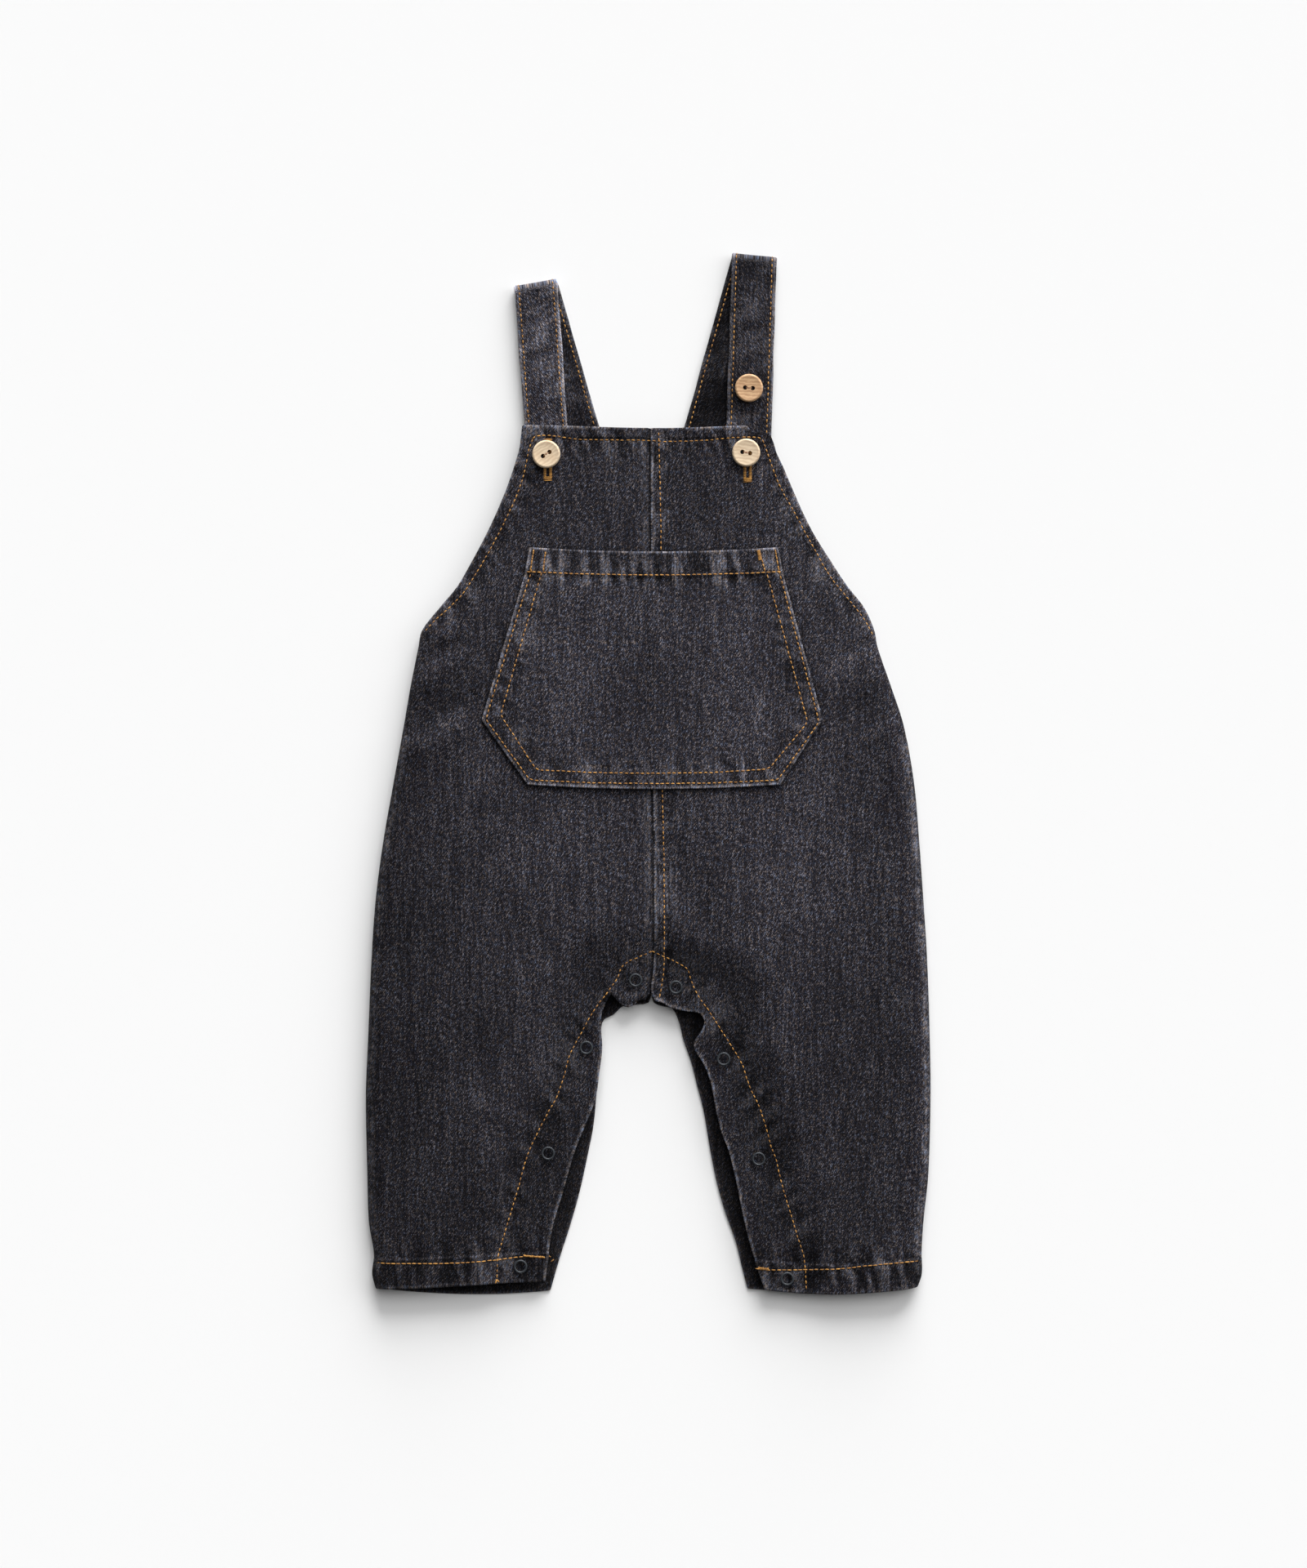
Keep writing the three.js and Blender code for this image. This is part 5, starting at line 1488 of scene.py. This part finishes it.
@dataclass
class Strap:
    """A shoulder strap of doubled cloth, folded over at the shoulder and run down under the bib."""

    side: Side
    finish: Wardrobe
    width: float
    x: float
    y: float
    front: float  # slants in degrees
    back: float
    fold: float
    front_end: float  # y of the front run's end
    front_shade: float  # how dark the runs are
    back_shade: float
    thickness: float = 2.2
    fold_radius: float = 1.6
    lap: float = 11.0  # how far the strap lies on the back
    settle: float = 30.0  # how far from the fold the front run comes to lie on the back run
    step: float = 2.5  # distance between rings along the strap
    turns: int = 56  # points in a ring
    squareness: tuple[float, float] = (0.16, 0.9)  # powers that square the ring's sides and faces

    def direction(self, slant: float) -> Array:
        """Give the way down at a slant."""
        angle = math.radians(slant)
        return np.array([math.sin(angle), -math.cos(angle), 0.0])

    @property
    def rest_z(self) -> float:
        """Give the middle height of the strap on the surface."""
        return self.thickness / 2

    @property
    def front_z(self) -> float:
        """Give the middle height of the front run on the back run."""
        return self.rest_z + self.thickness + 0.4

    def stations(self) -> list[tuple[Array, Array, float]]:
        """Give the strap's middle line.

        Returns:
            The centre, the outward direction and the run of each station, from the back's lap to the front's end.
        """
        start = np.array([self.x, self.y, 0.0])
        front, back, fold = (self.direction(a) for a in (self.front, self.back, self.fold))
        up = np.array([0.0, 0.0, 1.0])
        top_z = self.rest_z + 2 * self.fold_radius
        lap_z = CLOTH + 0.3 + self.rest_z
        found = []
        lap_end = (OUTLINE.back_top - self.lap - self.y) / back[1]
        lap_start = (OUTLINE.back_top - self.y) / back[1] - 2
        for run in np.arange(lap_end, 0, -self.step):
            rise = float(smoothstep(np.array(run), lap_start - 6, lap_start))
            z = self.rest_z + (lap_z - self.rest_z) * rise
            found.append((start + back * run + up * z, -up, -run))
        for angle in np.linspace(0, math.pi, 13):
            normal = -fold * math.sin(angle) - up * math.cos(angle)
            found.append((start + up * (self.rest_z + self.fold_radius) + normal * self.fold_radius, normal, 0.0))
        for run in np.arange(2.0, (self.front_end - self.y) / front[1], self.step):
            down = float(smoothstep(np.array(run), 0, self.settle))
            found.append((start + front * run + up * (top_z - (top_z - self.front_z) * down), up, run + 3.2))
        return found

    def build(self) -> bpy.types.Object:
        """Build the strap.

        Returns:
            The strap, which stands for its node.
        """
        cross = np.cross(np.array([0.0, 0.0, 1.0]), self.direction(self.fold))
        turns = self.turns
        angle = np.linspace(0, 2 * np.pi, turns, endpoint=False)
        across = np.sign(np.cos(angle)) * np.abs(np.cos(angle)) ** self.squareness[0]
        through = np.sign(np.sin(angle)) * np.abs(np.sin(angle)) ** self.squareness[1]
        points, uv, wear, shade = [], [], [], []
        for centre, normal, run in self.stations():
            w = across * (self.width / 2 - 0.1 + 0.25 * noise(np.array([run]), np.array([self.x]), 14, 9, 71)[0])
            from_edge = self.width / 2 - np.abs(w)
            pressed = 1 - 0.2 * smoothstep(from_edge, 2.5, 5) - 0.22 * bell(from_edge - 2.4, 1)
            thick = self.thickness / 2 * pressed
            ripple = 0.2 * noise(run + 0.5 * w, w, 6, 7, 72) + 0.13 * noise(run - 0.4 * w, w, 3, 9, 73)
            t = through * thick + ripple * np.abs(through)
            ring = centre + cross * w[:, None] + normal * t[:, None]
            ring[:, 2] = np.maximum(ring[:, 2], 0.0)
            points.append(ring)
            uv.append(np.stack([w + 30 * np.sign(through), np.full(turns, run)], axis=1) / UV_SIZE)
            patch = 0.6 + 0.4 * noise(w, np.full(turns, run), 30, 9, 74)
            worn = (0.85 + 0.35 * (w > 0)) * bell(from_edge, 1.7) * patch
            crumple = noise(run + 0.5 * w, w, 4.5, 6, 76)
            wear.append(np.clip(worn + 0.16 * np.clip(crumple, 0, 1) + 0.2 * (abs(run) < 4), 0, 1))
            base = self.back_shade if run < 0 else self.front_shade
            shade.append(0.42 * noise(w, np.full(turns, run), 9, 17, 75) - 0.45 * crumple + base)
        rings = len(points)
        index = np.arange(rings * turns).reshape(rings, turns)
        nxt = np.roll(index, -1, axis=1)
        sides = np.stack([index[:-1], nxt[:-1], nxt[1:], index[1:]], axis=-1).reshape(-1, 4)
        faces = [*sides.tolist(), index[0, ::-1].tolist(), index[-1].tolist()]
        strap = make_mesh(
            f"denim_strap_{self.side.word}",
            np.concatenate(points),
            faces,
            uv=np.concatenate(uv) + 2.7 * self.side.value,
            values={"wear": np.concatenate(wear), "shade": np.concatenate(shade)},
            finishes=(self.finish.denim,),
            sharp=50,
        )
        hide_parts(f"strap_{self.side.word}")
        return strap

    def stitch_points(self, inset: float, back: bool) -> Array:
        """Place a topstitch line on what shows of the strap.

        Args:
            inset: Distance from the strap's middle, to the right.
            back: Whether it is on the back run.

        Returns:
            Points on the strap's upper side.
        """
        cross = np.cross(np.array([0.0, 0.0, 1.0]), self.direction(self.fold))
        top = self.thickness / 2 * 0.9
        line = []
        for centre, normal, run in self.stations():
            if back and run < -3 and centre[1] > STRAPS_SHOW:
                line.append(centre + cross * inset - normal * top)
            if not back and run >= 0 and centre[1] > STRAPS_SHOW and normal[2] > -0.2:
                line.append(centre + cross * inset + normal * top)
        return np.array(line)


@dataclass
class Sewing:
    """Topstitching: one rounded stitch after another, laid along lines on the cloth."""

    finish: bpy.types.Material
    name: str
    pitch: float = 2.8
    length: float = 2.0
    radius: float = 0.38
    seed: int = 5
    rings: int = 7  # rings and points in a ring of one stitch
    turns: int = 6
    bar_pitch: float = 0.42  # distance between the stitches of a bar or buttonhole
    bar_radius: float = 0.27
    points: list[Array] = field(default_factory=list)
    faces: list[Array] = field(default_factory=list)
    tones: list[Array] = field(default_factory=list)
    uvs: list[Array] = field(default_factory=list)
    total: int = 0

    def __post_init__(self) -> None:
        """Start the stitches' own random numbers."""
        self.random = np.random.default_rng(self.seed)

    def stitch(self, start: Array, end: Array, radius: float | None = None, sink: float = 0.22) -> None:
        """Lay one stitch from start to end, its ends sunk into the cloth."""
        size = self.radius if radius is None else radius
        rings, turns = self.rings, self.turns
        axis = end - start
        long = float(np.linalg.norm(axis))
        if long < 1e-6:
            return
        axis = axis / long
        side = np.cross(axis, np.array([0.0, 0.0, 1.0]))
        side /= max(float(np.linalg.norm(side)), 1e-9)
        up = np.cross(side, axis)
        made = []
        for i in range(rings):
            t = i / (rings - 1)
            swell = math.sin(math.pi * (0.06 + 0.88 * t)) ** 0.5
            centre = start + axis * long * t + up * (sink * (math.sin(math.pi * t) - 0.62))
            for j in range(turns):
                a = 2 * math.pi * (j + 0.5) / turns
                made.append(centre + (side * math.cos(a) + up * 0.8 * math.sin(a)) * size * swell)
        index = np.arange(rings * turns).reshape(rings, turns)
        nxt = np.roll(index, -1, axis=1)
        quads = np.stack([index[:-1], index[1:], nxt[1:], nxt[:-1]], axis=-1).reshape(-1, 4)
        caps = [index[0].tolist(), index[-1, ::-1].tolist()]
        self.points.append(np.array(made))
        self.faces.extend((quads + self.total).tolist())
        self.faces.extend([[v + self.total for v in cap] for cap in caps])
        tone = self.random.uniform(0.15, 0.95)
        self.tones.append(np.full(rings * turns, tone))
        flat = np.array([[long * (k // turns) / rings, k % turns] for k in range(rings * turns)]) / UV_SIZE
        self.uvs.append(flat + self.random.uniform(0, 4))
        self.total += rings * turns

    def line(self, path: Array, height: Height | None = None) -> None:
        """Sew along a path.

        Args:
            path: The path's points; x and y are enough where a height is given.
            height: Height of the cloth's outside.
        """
        run = along(path)
        count = max(1, int(run[-1] / self.pitch))
        for k in range(count):
            a = k * run[-1] / count + self.random.uniform(-0.12, 0.12)
            b = a + self.length + self.random.uniform(-0.2, 0.15)
            spots = np.stack([np.interp([a, b], run, path[:, i]) for i in range(path.shape[1])], axis=1)
            if height is not None:
                z = height(spots[:, 0], spots[:, 1])
                spots = np.column_stack([spots[:, :2], z + 0.12])
            spots[:, :2] += self.random.uniform(-0.1, 0.1, 2)
            self.stitch(spots[0], spots[1])

    def bartack(self, centre: tuple[float, float], turn: float, length: float, width: float, height: Height) -> None:
        """Sew a dense bar.

        Args:
            centre: The bar's middle.
            turn: Its heading in degrees.
            length: Its length.
            width: Its width.
            height: Height of the cloth's outside.
        """
        a = math.radians(turn)
        way, side = np.array([math.cos(a), math.sin(a)]), np.array([-math.sin(a), math.cos(a)])
        count = int(length / self.bar_pitch)
        for k in range(count):
            mid = np.array(centre) + way * (length * (k / (count - 1) - 0.5))
            jitter = self.random.uniform(-0.15, 0.15, 2)
            ends = np.array([mid + side * (width / 2 + jitter[0]), mid - side * (width / 2 + jitter[1]) + way * 0.2])
            z = height(ends[:, 0], ends[:, 1]) + 0.3
            self.stitch(np.array([*ends[0], z[0]]), np.array([*ends[1], z[1]]), self.bar_radius, sink=0.15)

    def buttonhole(self, x: float, low: float, high: float, width: float, height: Height) -> None:
        """Sew round a buttonhole, with a bar across each end.

        Args:
            x: Its middle.
            low: y of its lower end.
            high: y of its upper end.
            width: Width over the stitches.
            height: Height of the cloth's outside.
        """
        slit = 0.7
        for y in np.arange(low + 1.6, high - 1.6, self.bar_pitch):
            for sign in (-1, 1):
                ends = np.array([[x + sign * slit, y], [x + sign * width / 2, y + self.random.uniform(-0.1, 0.1)]])
                z = height(ends[:, 0], ends[:, 1]) + 0.16
                self.stitch(np.array([*ends[0], z[0]]), np.array([*ends[1], z[1]]), self.bar_radius, sink=0.15)
        for y in (low + 0.8, high - 0.8):
            self.bartack((x, y), 90, 1.9, width, height)

    def build(self) -> bpy.types.Object:
        """Make one object of all the stitches.

        Returns:
            The object.
        """
        piece = make_mesh(
            self.name,
            np.concatenate(self.points),
            self.faces,
            uv=np.concatenate(self.uvs),
            values={"tone": np.concatenate(self.tones)},
            finishes=(self.finish,),
        )
        return piece


def lathe(profile: Sequence[tuple[float, float]], turns: int) -> tuple[Array, list[list[int]]]:
    """Turn a profile round the upright axis.

    Args:
        profile: Radius and height of each point, from the bottom's middle or round a closed ring.
        turns: Points in a circle.

    Returns:
        Points and faces.
    """
    rows = np.asarray(profile, float)
    angle = np.linspace(0, 2 * np.pi, turns, endpoint=False)
    points = np.array([[r * math.cos(a), r * math.sin(a), z] for r, z in rows for a in angle])
    index = np.arange(len(rows) * turns).reshape(len(rows), turns)
    nxt = np.roll(index, -1, axis=1)
    faces = np.stack([index[:-1], nxt[:-1], nxt[1:], index[1:]], axis=-1).reshape(-1, 4).tolist()
    return points, faces


@dataclass
class Button:
    """A turned wooden button with two holes and thread through them."""

    name: str
    turn: float
    wood: bpy.types.Material
    thread: bpy.types.Material
    radius: float = 7.5
    thickness: float = 2.8
    hole: float = 1.2
    dish: float = 0.2  # how far the face is turned down inside its rim
    spacing: float = 4.1

    def place(self) -> tuple[float, float, float]:
        """Give the button's middle and underside in table millimetres."""
        low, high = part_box(f"button_{self.name}")
        middle = [(a + b) / 2 / MM for a, b in zip(low, high)]
        return middle[0], middle[1] + MIDDLE_Y, low[2] / MM

    def turned(self, points: Array) -> Array:
        """Turn local points and set them in place."""
        a = math.radians(self.turn)
        x, y, z = self.place()
        spun = points.copy()
        spun[:, 0] = points[:, 0] * math.cos(a) - points[:, 1] * math.sin(a) + x
        spun[:, 1] = points[:, 0] * math.sin(a) + points[:, 1] * math.cos(a) + y
        spun[:, 2] = points[:, 2] + z
        return spun

    def build(self) -> list[bpy.types.Object]:
        """Build the button and its thread.

        Returns:
            Both objects, each standing for its node.
        """
        r, h = self.radius, self.thickness
        profile = [
            (0.001, 0), (r - 1.6, 0), (r - 0.9, 0.15), (r - 0.25, 0.6), (r, 1.2), (r, h - 1.1), (r - 0.15, h - 0.5),
            (r - 0.5, h - 0.12), (r - 0.9, h), (r - 1.2, h - 0.02), (r - 1.7, h - 0.15), (3.0, h - self.dish),
            (0.001, h - self.dish),
        ]
        points, faces = lathe(profile, 72)
        body = make_mesh(f"wooden_button_{self.name}", self.turned(points), faces, finishes=(self.wood,))
        for end in (-1, 1):
            hole, hole_faces = lathe([(0.001, -1), (self.hole, -1), (self.hole, h + 1), (0.001, h + 1)], 20)
            hole[:, 0] += end * self.spacing / 2
            self.cut(body, make_mesh("hole", self.turned(hole), hole_faces))
        body.data.polygons.foreach_set("use_smooth", np.ones(len(body.data.polygons), bool))
        body.data.set_sharp_from_angle(angle=math.radians(38))
        self.map_grain(body)
        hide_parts(f"button_{self.name}")
        return [body, self.sew()]

    def map_grain(self, body: bpy.types.Object) -> None:
        """Lay the wood's grain across the face, whichever way the button is turned."""
        x, y, _ = self.place()
        a = math.radians(-self.turn)
        layer = body.data.uv_layers.new(name="cloth")
        for corner in body.data.loops:
            co = body.data.vertices[corner.vertex_index].co
            u, v = co.x / MM - x, co.y / MM + MIDDLE_Y - y
            spun = (u * math.cos(a) - v * math.sin(a), u * math.sin(a) + v * math.cos(a) + 0.35 * co.z / MM)
            layer.data[corner.index].uv = (spun[0] / UV_SIZE + x * 0.01, spun[1] / UV_SIZE)

    def cut(self, body: bpy.types.Object, tool: bpy.types.Object) -> None:
        """Cut one object out of another."""
        step = body.modifiers.new("cut", "BOOLEAN")
        step.operation, step.object, step.solver = "DIFFERENCE", tool, "EXACT"
        shape = body.evaluated_get(bpy.context.evaluated_depsgraph_get())
        made = bpy.data.meshes.new_from_object(shape)
        body.modifiers.clear()
        old, body.data = body.data, made
        bpy.data.meshes.remove(old)
        bpy.data.objects.remove(tool)

    def sew(self) -> bpy.types.Object:
        """Lay the thread through the holes, down to the strap."""
        sewing = Sewing(self.thread, f"button_sewing_{self.name}", seed=90)
        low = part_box(f"button_thread_{self.name}")[0][2] / MM - self.place()[2]
        top, half = self.thickness - self.dish, self.spacing / 2
        for shift in (-0.26, 0.0, 0.26):
            ends = self.turned(np.array([[0.5 - half, shift, top - 0.2], [half - 0.5, shift, top - 0.2]]))
            sewing.stitch(ends[0], ends[1], radius=0.22, sink=0.5)
            for end in (-1, 1):
                foot = [end * 0.35, shift * 0.8, low + 0.05]
                down = self.turned(np.array([[end * (half - 0.55), shift, top + 0.05], foot]))
                sewing.stitch(down[0], down[1], radius=0.22, sink=0.0)
        piece = sewing.build()
        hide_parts(f"button_thread_{self.name}")
        return piece


@dataclass
class Snap:
    """A ring snap: the pressed ring on the front and the closed stud and socket under it."""

    name: str
    paint: bpy.types.Material

    def build(self) -> list[bpy.types.Object]:
        """Build the ring, then the stud.

        Returns:
            Both objects, each standing for its node.
        """
        low, high, middle = self.box(f"snap_cap_{self.name}")
        ring = self.ring(high[0] - low[0], high[2] - low[2], middle)
        low, high, under = self.box(f"snap_{self.name}")
        middle[2] = under[2]
        return [ring, self.stud(high[0] - low[0], high[2] - low[2], middle)]

    def box(self, node: str) -> tuple[Array, Array, Array]:
        """Give a node's lower and upper corners, and the middle of its underside in table millimetres."""
        low, high = (np.array(c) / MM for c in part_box(node))
        return low, high, np.array([(low[0] + high[0]) / 2, (low[1] + high[1]) / 2 + MIDDLE_Y, low[2]])

    def ring(self, wide: float, h: float, middle: Array) -> bpy.types.Object:
        """Build the pressed ring, of a width and height."""
        r, steps, turns = wide / 2, 16, 56
        angles = [2 * math.pi * k / steps - math.pi / 2 for k in range(steps)]
        rim = [(r - 0.6 + 0.6 * math.cos(a), h * 0.45 + h * 0.5 * math.sin(a)) for a in angles]
        points, faces = lathe(rim, turns)
        index = np.arange(steps * turns).reshape(steps, turns)
        join = np.stack([index[-1], np.roll(index[-1], -1), np.roll(index[0], -1), index[0]], axis=-1)
        # lighter towards the crest: rubbed paint and a painted highlight
        wear = np.clip((points[:, 2] / h - 0.8) * 4, 0, 1)
        cap = make_mesh(
            f"snap_ring_{self.name}", points + middle, [*faces, *join.tolist()],
            uv=points[:, :2] / UV_SIZE, values={"wear": wear}, finishes=(self.paint,),
        )
        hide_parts(f"snap_cap_{self.name}")
        return cap

    def stud(self, wide: float, h: float, middle: Array) -> bpy.types.Object:
        """Build the closed stud and socket, of a width and height."""
        r = wide / 2
        profile = [
            (0.001, 0), (r - 0.2, 0), (r, 0.15), (r, h * 0.22), (r - 0.3, h * 0.32), (r - 1.1, h * 0.4),
            (r - 1.2, h * 0.45), (r - 0.5, h * 0.54), (r - 0.2, h * 0.6), (r - 0.2, h - 0.2), (r - 0.45, h),
            (0.001, h),
        ]
        points, faces = lathe(profile, 40)
        body = make_mesh(
            f"snap_stud_{self.name}", points + middle, faces, uv=points[:, :2] / UV_SIZE,
            values={"wear": np.full(len(points), 0.5)}, finishes=(self.paint,), sharp=35,
        )
        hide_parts(f"snap_{self.name}")
        return body


# The set

SQUARE = ((-1, -1), (1, -1), (1, 1), (-1, 1))


@dataclass(frozen=True)
class Studio:
    """A plain white floor, soft light from the upper right and a camera straight above."""

    middle: tuple[float, float] = (2.84, -5.65)  # what the picture is centred on, in millimetres
    tall: float = 840.0  # height of the picture at the garment
    lens: float = 85.0
    sensor: float = 36.0
    room: float = 0.12  # strength of the light from all round
    garment_top: float = 0.008  # z at which the picture is as tall as said, in metres
    floor_z: float = -0.0003
    floor_reach: float = 4.0
    floor_white: float = 0.9
    # name, where from, strength, spread in degrees
    lamps: tuple[tuple[str, tuple[float, float, float], float, float], ...] = (
        ("ceiling", (0.15, 0.75, 1.0), 1.15, 60.0),
        ("window", (0.2, 1.0, 0.24), 6.6, 48.0),
        ("side_window", (1.0, 0.4, 0.5), 1.1, 40.0),
    )

    def build(self) -> None:
        """Set up the floor, lights, world and camera."""
        scene = bpy.context.scene
        scene.view_settings.view_transform = "Standard"
        camera = bpy.data.cameras.new("camera")
        camera.lens, camera.sensor_width = self.lens, self.sensor
        eye = bpy.data.objects.new("camera", camera)
        high = self.tall * MM * self.lens / self.sensor + self.garment_top
        eye.location = (self.middle[0] * MM, self.middle[1] * MM, high)
        scene.collection.objects.link(eye)
        scene.camera = eye
        self.floor()
        for lamp in self.lamps:
            self.light(*lamp)
        world = bpy.data.worlds.new("room")
        world.use_nodes = True
        world.node_tree.nodes["Background"].inputs[0].default_value = (1, 1, 1, 1)
        world.node_tree.nodes["Background"].inputs[1].default_value = self.room
        scene.world = world

    def floor(self) -> None:
        """Lay the floor."""
        mesh = bpy.data.meshes.new("floor")
        corners = [(a * self.floor_reach, b * self.floor_reach, self.floor_z) for a, b in SQUARE]
        mesh.from_pydata(corners, [], [(0, 1, 2, 3)])
        tree = Tree("white_floor")
        grain = tree.noise(None, 6, 2, 0.5)
        tree.set(Base_Color=(*(self.floor_white,) * 3, 1), Roughness=tree.ranged(grain, 0.3, 0.7, 0.85, 0.95))
        mesh.materials.append(tree.material)
        floor = bpy.data.objects.new("floor", mesh)
        bpy.context.scene.collection.objects.link(floor)

    def light(self, name: str, place: tuple[float, float, float], strength: float, spread: float) -> None:
        """Hang a soft, far light that faces the garment."""
        data = bpy.data.lights.new(name, "SUN")
        data.energy, data.angle = strength, math.radians(spread)
        lamp = bpy.data.objects.new(name, data)
        lamp.location = place
        lamp.rotation_mode = "QUATERNION"
        lamp.rotation_quaternion = (-Vector(place)).to_track_quat("-Z", "Y")
        bpy.context.scene.collection.objects.link(lamp)


def sew_garment(
    finish: Wardrobe, fronts: dict[Side, FrontPanel], pocket: Pocket, straps: Iterable[Strap]
) -> list[bpy.types.Object]:
    """Sew every line that shows.

    Args:
        finish: The garment's finishes.
        fronts: The front's halves.
        pocket: The pocket.
        straps: The straps.

    Returns:
        The sewing's objects.
    """
    def front(x: Array, y: Array) -> Array:
        """Give the height of whichever front lies there."""
        right = x > OUTLINE.seam(y)
        return np.where(right, fronts[Side.RIGHT].height(x, y), fronts[Side.LEFT].height(x, y))

    made = []
    lines = {
        "topstitch_bib": (BIB_TOP, ARMHOLE_LEFT, ARMHOLE_RIGHT),
        "topstitch_centre": (CENTRE_FRONT,),
        "topstitch_placket": (PLACKET_LEFT, PLACKET_RIGHT),
        "topstitch_hems": (HEM_LEFT, HEM_RIGHT),
    }
    for seed, (name, paths) in enumerate(lines.items()):
        long, thick = (2.4, 0.37) if name == "topstitch_hems" else (1.9, 0.34)
        sewing = Sewing(finish.topstitch, name, length=long, radius=thick, seed=100 + seed)
        for path in paths:
            points = resampled(path, 0.5)
            if name == "topstitch_centre":
                lip = pocket.rows[0][0] - 2.4, pocket.rows[-1][0] - 2.4
                for part in (points[:, 1] > lip[0], points[:, 1] < lip[1]):
                    sewing.line(points[part], front)
            else:
                sewing.line(points, front)
        if name == "topstitch_hems":
            for bar in HEM_BARS:
                sewing.bartack(*bar, front)
            for path in PLACKET_FORK:
                sewing.line(resampled(path, 0.5, smooth=False), front)
            for path in (LOOSE_END[:2], LOOSE_END[1:]):
                sewing.line(resampled(path, 0.5, smooth=False))
        made.append(sewing.build())
    sewing = Sewing(finish.topstitch, "topstitch_pocket", length=2.0, radius=0.38, seed=120)
    for seam in POCKET_SEAMS:
        sewing.line(seam.line.points, pocket.height)
    for a, b in MOUTH_ENDS:
        for path in ((a, b), (b, a)):
            sewing.line(resampled(path, 0.5, smooth=False), pocket.height)
    sewing.bartack(*POCKET_BAR, pocket.height)
    made.append(sewing.build())
    sewing = Sewing(finish.topstitch, "topstitch_straps", length=1.85, radius=0.33, seed=130)
    for strap in straps:
        edge = strap.width / 2 - 2.6
        for inset in (-edge, edge):
            sewing.line(strap.stitch_points(inset, back=False))
            sewing.line(strap.stitch_points(inset, back=True))
    made.append(sewing.build())
    sewing = Sewing(finish.topstitch, "buttonholes", seed=140)
    for hole in BUTTONHOLES:
        sewing.buttonhole(*hole, BUTTONHOLE_WIDTH, front)
    made.append(sewing.build())
    return made


def main() -> None:
    """Build the garment, then the set."""
    logging.basicConfig(level=logging.INFO, format="%(message)s")
    finish = Wardrobe.stocked()
    fronts = {side: FrontPanel(side, finish) for side in Side}
    pocket = Pocket(finish)
    straps = (
        Strap(
            Side.LEFT, finish, width=23.6, x=-60.2, y=541.8, front=4.1, back=16.2, fold=10, front_end=412,
            front_shade=-0.3, back_shade=0.85,
        ),
        Strap(
            Side.RIGHT, finish, width=24.4, x=56.9, y=556.4, front=-1.8, back=-15.6, fold=-5.5, front_end=433,
            front_shade=0.45, back_shade=1.8,
        ),
    )
    made = [panel.build() for panel in fronts.values()]
    made += [BackPanel(side, finish).build() for side in Side]
    made.append(pocket.build())
    made += [strap.build() for strap in straps]
    made += sew_garment(finish, fronts, pocket, straps)
    for name, turn, wood in (
        ("left", 32, finish.pale_wood), ("right", -9, finish.pale_wood), ("spare", -4, finish.red_wood),
    ):
        made += Button(name, turn, wood, finish.tan).build()
    for place in ("crotch", "thigh", "knee", "hem"):
        for side in Side:
            made += Snap(f"{place}_{side.word}", finish.paint).build()
    for piece in made:
        LOG.info("%s: %d faces", piece.name, len(piece.data.polygons))
    Studio().build()


if __name__ == "__main__":
    main()
